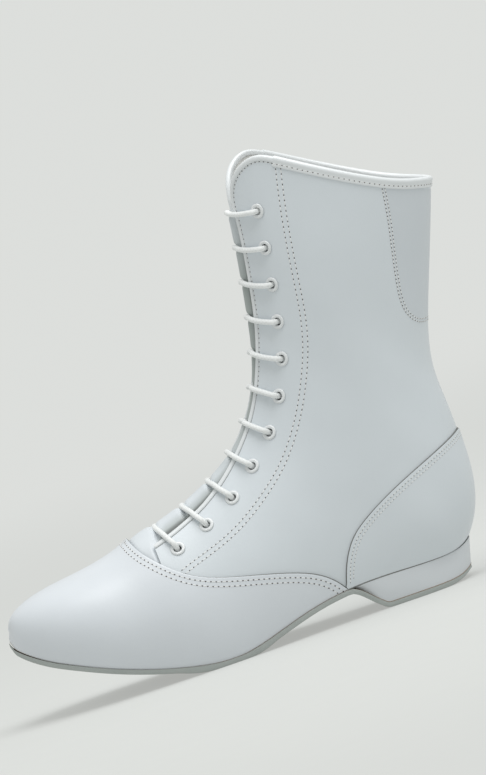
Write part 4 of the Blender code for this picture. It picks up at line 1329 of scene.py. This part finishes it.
class BOOT_OT_sole(BootOperator, bpy.types.Operator):
    """Outsole, heel block, insole and the dark seam between the upper and the sole, partly painted shade"""

    bl_idname = "boot.sole"
    bl_label = "Sole and heel"

    ROUNDING = 0.0003
    HEEL_MARGIN = 1.4
    INSOLE_INSET = 2.2
    INSOLE_THICKNESS = 0.0022
    SEAM_MARGIN = 1.1
    SEAM_RADIUS = 0.22
    SEAT_MARGIN = 1.15
    SEAT_RADIUS = 0.4

    def edges(self, place, margin):
        """The sole line's outer and inner side, moved out from the foot, level, by this margin."""
        lines = []
        whole = np.ones(place.shape)
        for side, _ in SIDES:
            run = slopes(place, whole, np.full(place.shape, side))[0]
            out = unit(np.stack([run[..., 1], -run[..., 0], 0 * run[..., 0]], -1)) * -side
            out = np.where((place == 0)[..., None], (-1.0, 0.0, 0.0), out)
            lines.append(last(place, whole, side) + out * margin)
        return lines

    def heel_half(self, x):
        reach = np.clip((x - HEEL_ROUND_X) / (HEEL_RUN[-1][0] - HEEL_ROUND_X), 0, 1)
        return HEEL_HALF * np.sqrt(1 - reach**2)

    def heel_line(self):
        """Stations of the outsole behind the waist, close together where the heel is round."""
        line = spline(HEEL_RUN)(np.linspace(0, len(HEEL_RUN) - 1, 400))
        front = np.linspace(HEEL_RUN[0][0], HEEL_ROUND_X, 50)
        turn = np.linspace(0, math.pi / 2, 40)[1:]
        x = np.append(front, between(HEEL_ROUND_X, HEEL_RUN[-1][0], np.sin(turn)))
        z = np.maximum(np.interp(x, line[:, 0], line[:, 1]), HEEL_FLAT_Z)
        return x, z

    def outsole_sheets(self):
        """The outsole's upper and lower faces, of one thickness until it thins out at the back."""
        thickness = self.sizes.sole / MILLIMETRE
        place = np.linspace(0, 1, 110) ** 1.15 * WAIST_PLACE
        left, right = self.edges(place, self.sizes.sole_margin / MILLIMETRE)
        level = last(place, np.ones(place.shape), LATERAL)[:, 2] - GAP
        rise = ease(BALL_FLAT[0] - 22, BALL_FLAT[0] + 4, left[:, 0])
        flat = rise * (1 - ease(BALL_FLAT[1] - 4, BALL_FLAT[1] + 18, left[:, 0]))
        tread = np.maximum(between(level, thickness, flat), thickness)
        level = np.maximum(level, tread)
        x, z = (values[1:] for values in self.heel_line())
        half = self.heel_half(x)
        join = ease(x[0], x[0] + 14, x)
        rear_left = np.stack([x, between(left[-1, 1], -half, join), z], -1)
        rear_right = np.stack([x, between(right[-1, 1], half, join), z], -1)
        left[:, 2] = right[:, 2] = level
        left, right = np.concatenate([left, rear_left]), np.concatenate([right, rear_right])
        across = np.linspace(0, 1, 25)[None, :, None]
        upper = between(left[:, None], right[:, None], across)
        drop = np.append(level - tread, 0 * x)
        run = np.gradient(left[:, [0, 2]] + right[:, [0, 2]] - 2 * np.stack([0 * drop, drop], -1), axis=0)
        down = unit(np.stack([run[:, 1], 0 * run[:, 0], -run[:, 0]], -1))
        upright = np.append(1 - ease(0.5, 2.5, place), 0 * x)[:, None]
        down = unit(between(down, np.array((0.0, 0.0, -1.0)), upright))
        depth = thickness * (1 - 0.55 * ease(HEEL_THIN_X, HEEL_RUN[-1][0], left[:, 0]))
        lower = upper + (down * depth[:, None] - np.stack([0 * drop, 0 * drop, drop], -1))[:, None]
        lower[..., 2] = np.maximum(lower[..., 2], 0.0)
        lower[..., 0] = np.minimum(lower[..., 0], HEEL_RUN[-1][0] - 0.3)
        return upper, lower

    def build(self):
        tints = self.colours
        looks = [
            sole_leather("tread_leather", tints.tread, 260.0),
            sole_leather("sole_edge", tints.sole, 700.0),
        ]
        shape = self.block(*self.outsole_sheets())
        add_piece("outsole_leather", shape, looks, ["outsole"])
        self.add_heel()
        self.add_insole()
        self.add_seam()

    def block(self, upper, lower):
        """A closed block between two sheets, with the faces round its edge in its second look."""
        shape = bmesh.new()
        add_sheet(shape, upper)
        add_sheet(shape, lower)
        weld(shape)
        sides = bmesh.ops.bridge_loops(shape, edges=[edge for edge in shape.edges if edge.is_boundary])
        for face in sides["faces"]:
            face.material_index = 1
        bmesh.ops.recalc_face_normals(shape, faces=shape.faces)
        corners = [edge for edge in shape.edges if edge.calc_face_angle(0.0) > math.radians(50)]
        bmesh.ops.bevel(
            shape, geom=corners, offset=self.ROUNDING, affect="EDGES", segments=2, profile=0.5, material=-1
        )
        return shape

    def add_heel(self):
        x, z = self.heel_line()
        keep = x >= HEEL_RUN[0][0] + 2.0
        x, z = x[keep], z[keep]
        places = np.linspace(9.0, HEEL_END_PLACE, 400)
        seat_x = last(places, np.ones(400), LATERAL)[:, 0]
        reach = (x - x[0]) / (x[-1] - x[0])
        place = np.interp(x + reach * (SEAT_LINE[-1][0] - x[-1]), seat_x, places)
        left, right = self.edges(place, self.HEEL_MARGIN)
        left[-1] = right[-1] = (SEAT_LINE[-1][0] + self.HEEL_MARGIN, 0.0, 0.0)
        top_z = last(place, np.ones(place.shape), LATERAL)[:, 2]
        top_z = top_z - between(GAP, 3 * GAP, ease(0.6, 1.0, reach))
        left[:, 2] = right[:, 2] = top_z
        half = np.maximum(self.heel_half(x) - GAP, 0.0)
        foot_left = np.stack([x, -half, z + GAP / 3], -1)
        foot_right = np.stack([x, half, z + GAP / 3], -1)
        across = np.linspace(0, 1, 25)[None, :, None]
        top = between(left[:, None], right[:, None], across)
        foot = between(foot_left[:, None], foot_right[:, None], across)
        cover = smooth_leather("heel_cover", self.colours.heel, 0.46)
        add_piece("heel_cover", self.block(top, foot), [cover, cover], ["heel"])
        # Partly painted shade: a dark brown cord along the heel's foot, in the gap above the outsole
        shape = bmesh.new()
        path = np.concatenate([foot_left, foot_right[::-1][1:]])
        add_cord(shape, path + (0.0, 0.0, 0.05), self.SEAM_RADIUS)
        add_piece("heel_seam", shape, [dark_edge_and_shade("heel_seam", self.colours.welt_and_gap_shade)])

    def add_insole(self):
        place = HEEL_END_PLACE * np.sin(np.linspace(0, 1, 90) * math.pi / 2)
        left, right = self.edges(place, -self.INSOLE_INSET)
        left[-1] = right[-1] = last(place[-1], 1.0, LATERAL) - (self.INSOLE_INSET, 0.0, 0.0)
        left[:, 2] = right[:, 2] = last(place, np.ones(place.shape), LATERAL)[:, 2] + 0.2
        shape = bmesh.new()
        add_sheet(shape, between(left[:, None], right[:, None], np.linspace(0, 1, 21)[None, :, None]))
        weld(shape)
        face_along(shape, lambda point: Vector((0.0, 0.0, 1.0)))
        looks = [napped_lining("sock_lining", self.colours.lining)]
        piece = add_piece("sock_lining", shape, looks, ["insole"])
        thicken(piece, self.INSOLE_THICKNESS, True, 0.0004)

    def add_seam(self):
        """A thin dark brown cord in the corner between the upper and the sole, partly the seam's own colour
        and partly painted shade of that corner.
        """
        shape = bmesh.new()
        place = np.linspace(0.02, WAIST_PLACE, 300)
        left, right = self.edges(place, self.SEAM_MARGIN)
        add_cord(shape, np.concatenate([left[::-1], right]), self.SEAM_RADIUS)
        add_piece("sole_seam", shape, [dark_edge_and_shade("sole_seam", self.colours.welt_and_gap_shade)])
        # Painted shade: a dark cord in the corner above the heel seat
        shape = bmesh.new()
        place = between(WAIST_PLACE, HEEL_END_PLACE, np.sin(np.linspace(0, 0.995, 160) * math.pi / 2))
        left, right = self.edges(place, self.SEAT_MARGIN)
        add_cord(shape, np.concatenate([left, right[::-1]]) - (0.0, 0.0, 0.1), self.SEAT_RADIUS)
        add_piece("heel_seat_shade_line", shape, [dark_edge_and_shade("heel_seat_shade_line", self.colours.painted_corner_shade)])


class BOOT_OT_stage(BootOperator, bpy.types.Operator):
    """Pale floor, soft studio light and the camera"""

    bl_idname = "boot.stage"
    bl_label = "Stage"

    FLOOR_RADIUS = 14.0
    GLOW_REACH = (0.45, 1.6)
    GLOW_START = 0.5
    SKY_STRENGTH = 0.80
    LIGHT_PLACE = (0.3, -0.2, 1.5)
    LIGHT_AIM = (0.0, 0.0, 0.12)
    LIGHT_SIZE = 1.2
    LIGHT_POWER = 19.0
    ROLL = math.radians(18.8)
    AZIMUTH = math.radians(3.0)
    ELEVATION = math.radians(3.5)
    AIM = (161.17, 0.0, 135.13)
    DISTANCE = 10.0
    VIEW_HEIGHT = 0.4152
    SENSOR = 36.0

    def build(self):
        self.add_floor()
        self.add_lights()
        self.add_camera()

    def add_floor(self):
        look = Look("floor")
        tint = self.colours.floor
        spot = look.node("ShaderNodeVectorMath", {"operation": "LENGTH"}, {0: look.coordinates()}, "Value")
        far = look.ramp(spot, *self.GLOW_REACH, self.GLOW_START)
        grain = look.noise(40.0, 2.0)
        look.finish(base_color=look.mix(grain, shade(tint, 0.84), shade(tint, 0.87)), roughness=0.9)
        glow = look.node("ShaderNodeEmission", {}, {"Color": (*tint, 1.0), "Strength": 1.0})
        surface = Value(look, look.shader.outputs[0])
        blend = look.node("ShaderNodeMixShader", {}, {0: far, 1: surface, 2: glow})
        look.connect(look.tree.nodes["Material Output"].inputs["Surface"], blend)
        shape = bmesh.new()
        bmesh.ops.create_circle(shape, cap_ends=True, segments=96, radius=self.FLOOR_RADIUS)
        bmesh.ops.recalc_face_normals(shape, faces=shape.faces)
        data = bpy.data.meshes.new("floor")
        shape.to_mesh(data)
        shape.free()
        data.materials.append(look.material)
        floor = bpy.data.objects.new("floor", data)
        bpy.context.scene.collection.objects.link(floor)

    def add_lights(self):
        world = bpy.data.worlds.new("studio")
        world.use_nodes = True
        sky = world.node_tree.nodes["Background"]
        sky.inputs["Color"].default_value = (*self.colours.floor, 1.0)
        sky.inputs["Strength"].default_value = self.SKY_STRENGTH
        bpy.context.scene.world = world
        bpy.context.scene.view_settings.view_transform = "Standard"
        data = bpy.data.lights.new("top_softbox", "AREA")
        data.size = self.LIGHT_SIZE
        data.energy = self.LIGHT_POWER
        light = bpy.data.objects.new("top_softbox", data)
        light.location = self.LIGHT_PLACE
        aim = Vector(self.LIGHT_AIM) - light.location
        light.rotation_euler = aim.to_track_quat("-Z", "Y").to_euler()
        bpy.context.scene.collection.objects.link(light)

    def add_camera(self):
        right = Vector((math.cos(self.ROLL), 0.0, -math.sin(self.ROLL)))
        up = Vector((math.sin(self.ROLL), 0.0, math.cos(self.ROLL)))
        back = Vector((0.0, -1.0, 0.0))
        swung = back * math.cos(self.AZIMUTH) - right * math.sin(self.AZIMUTH)
        right = right * math.cos(self.AZIMUTH) + back * math.sin(self.AZIMUTH)
        back = swung * math.cos(self.ELEVATION) + up * math.sin(self.ELEVATION)
        up = up * math.cos(self.ELEVATION) - swung * math.sin(self.ELEVATION)
        data = bpy.data.cameras.new("camera")
        data.sensor_width = self.SENSOR
        data.lens = self.SENSOR * self.DISTANCE / self.VIEW_HEIGHT
        camera = bpy.data.objects.new("camera", data)
        turn = Matrix((right, up, back)).transposed().to_4x4()
        camera.matrix_world = Matrix.Translation(Vector(placed(self.AIM)) + back * self.DISTANCE) @ turn
        bpy.context.scene.collection.objects.link(camera)
        bpy.context.scene.camera = camera


OPERATORS = (
    BOOT_OT_quarters,
    BOOT_OT_overlays,
    BOOT_OT_bindings,
    BOOT_OT_tongue,
    BOOT_OT_eyelets,
    BOOT_OT_lace,
    BOOT_OT_stitching,
    BOOT_OT_sole,
    BOOT_OT_stage,
)


class BOOT_PT_panel(bpy.types.Panel):
    """Lists the boot's pieces in the sidebar"""

    bl_idname = "BOOT_PT_panel"
    bl_label = "Dance boot"
    bl_space_type = "VIEW_3D"
    bl_region_type = "UI"
    bl_category = "Boot"

    def draw(self, context):
        for operator in OPERATORS:
            self.layout.operator(operator.bl_idname)
        for group in (context.scene.boot_sizes, context.scene.boot_colours):
            for name in group.__annotations__:
                self.layout.prop(group, name)


CLASSES = (Sizes, Colours, *OPERATORS, BOOT_PT_panel)


def register():
    for each in CLASSES:
        bpy.utils.register_class(each)
    bpy.types.Scene.boot_sizes = bpy.props.PointerProperty(type=Sizes)
    bpy.types.Scene.boot_colours = bpy.props.PointerProperty(type=Colours)


def unregister():
    del bpy.types.Scene.boot_colours
    del bpy.types.Scene.boot_sizes
    for each in reversed(CLASSES):
        bpy.utils.unregister_class(each)


def main():
    register()
    for operator in OPERATORS:
        group, name = operator.bl_idname.split(".")
        getattr(getattr(bpy.ops, group), name)()


if __name__ == "__main__":
    main()
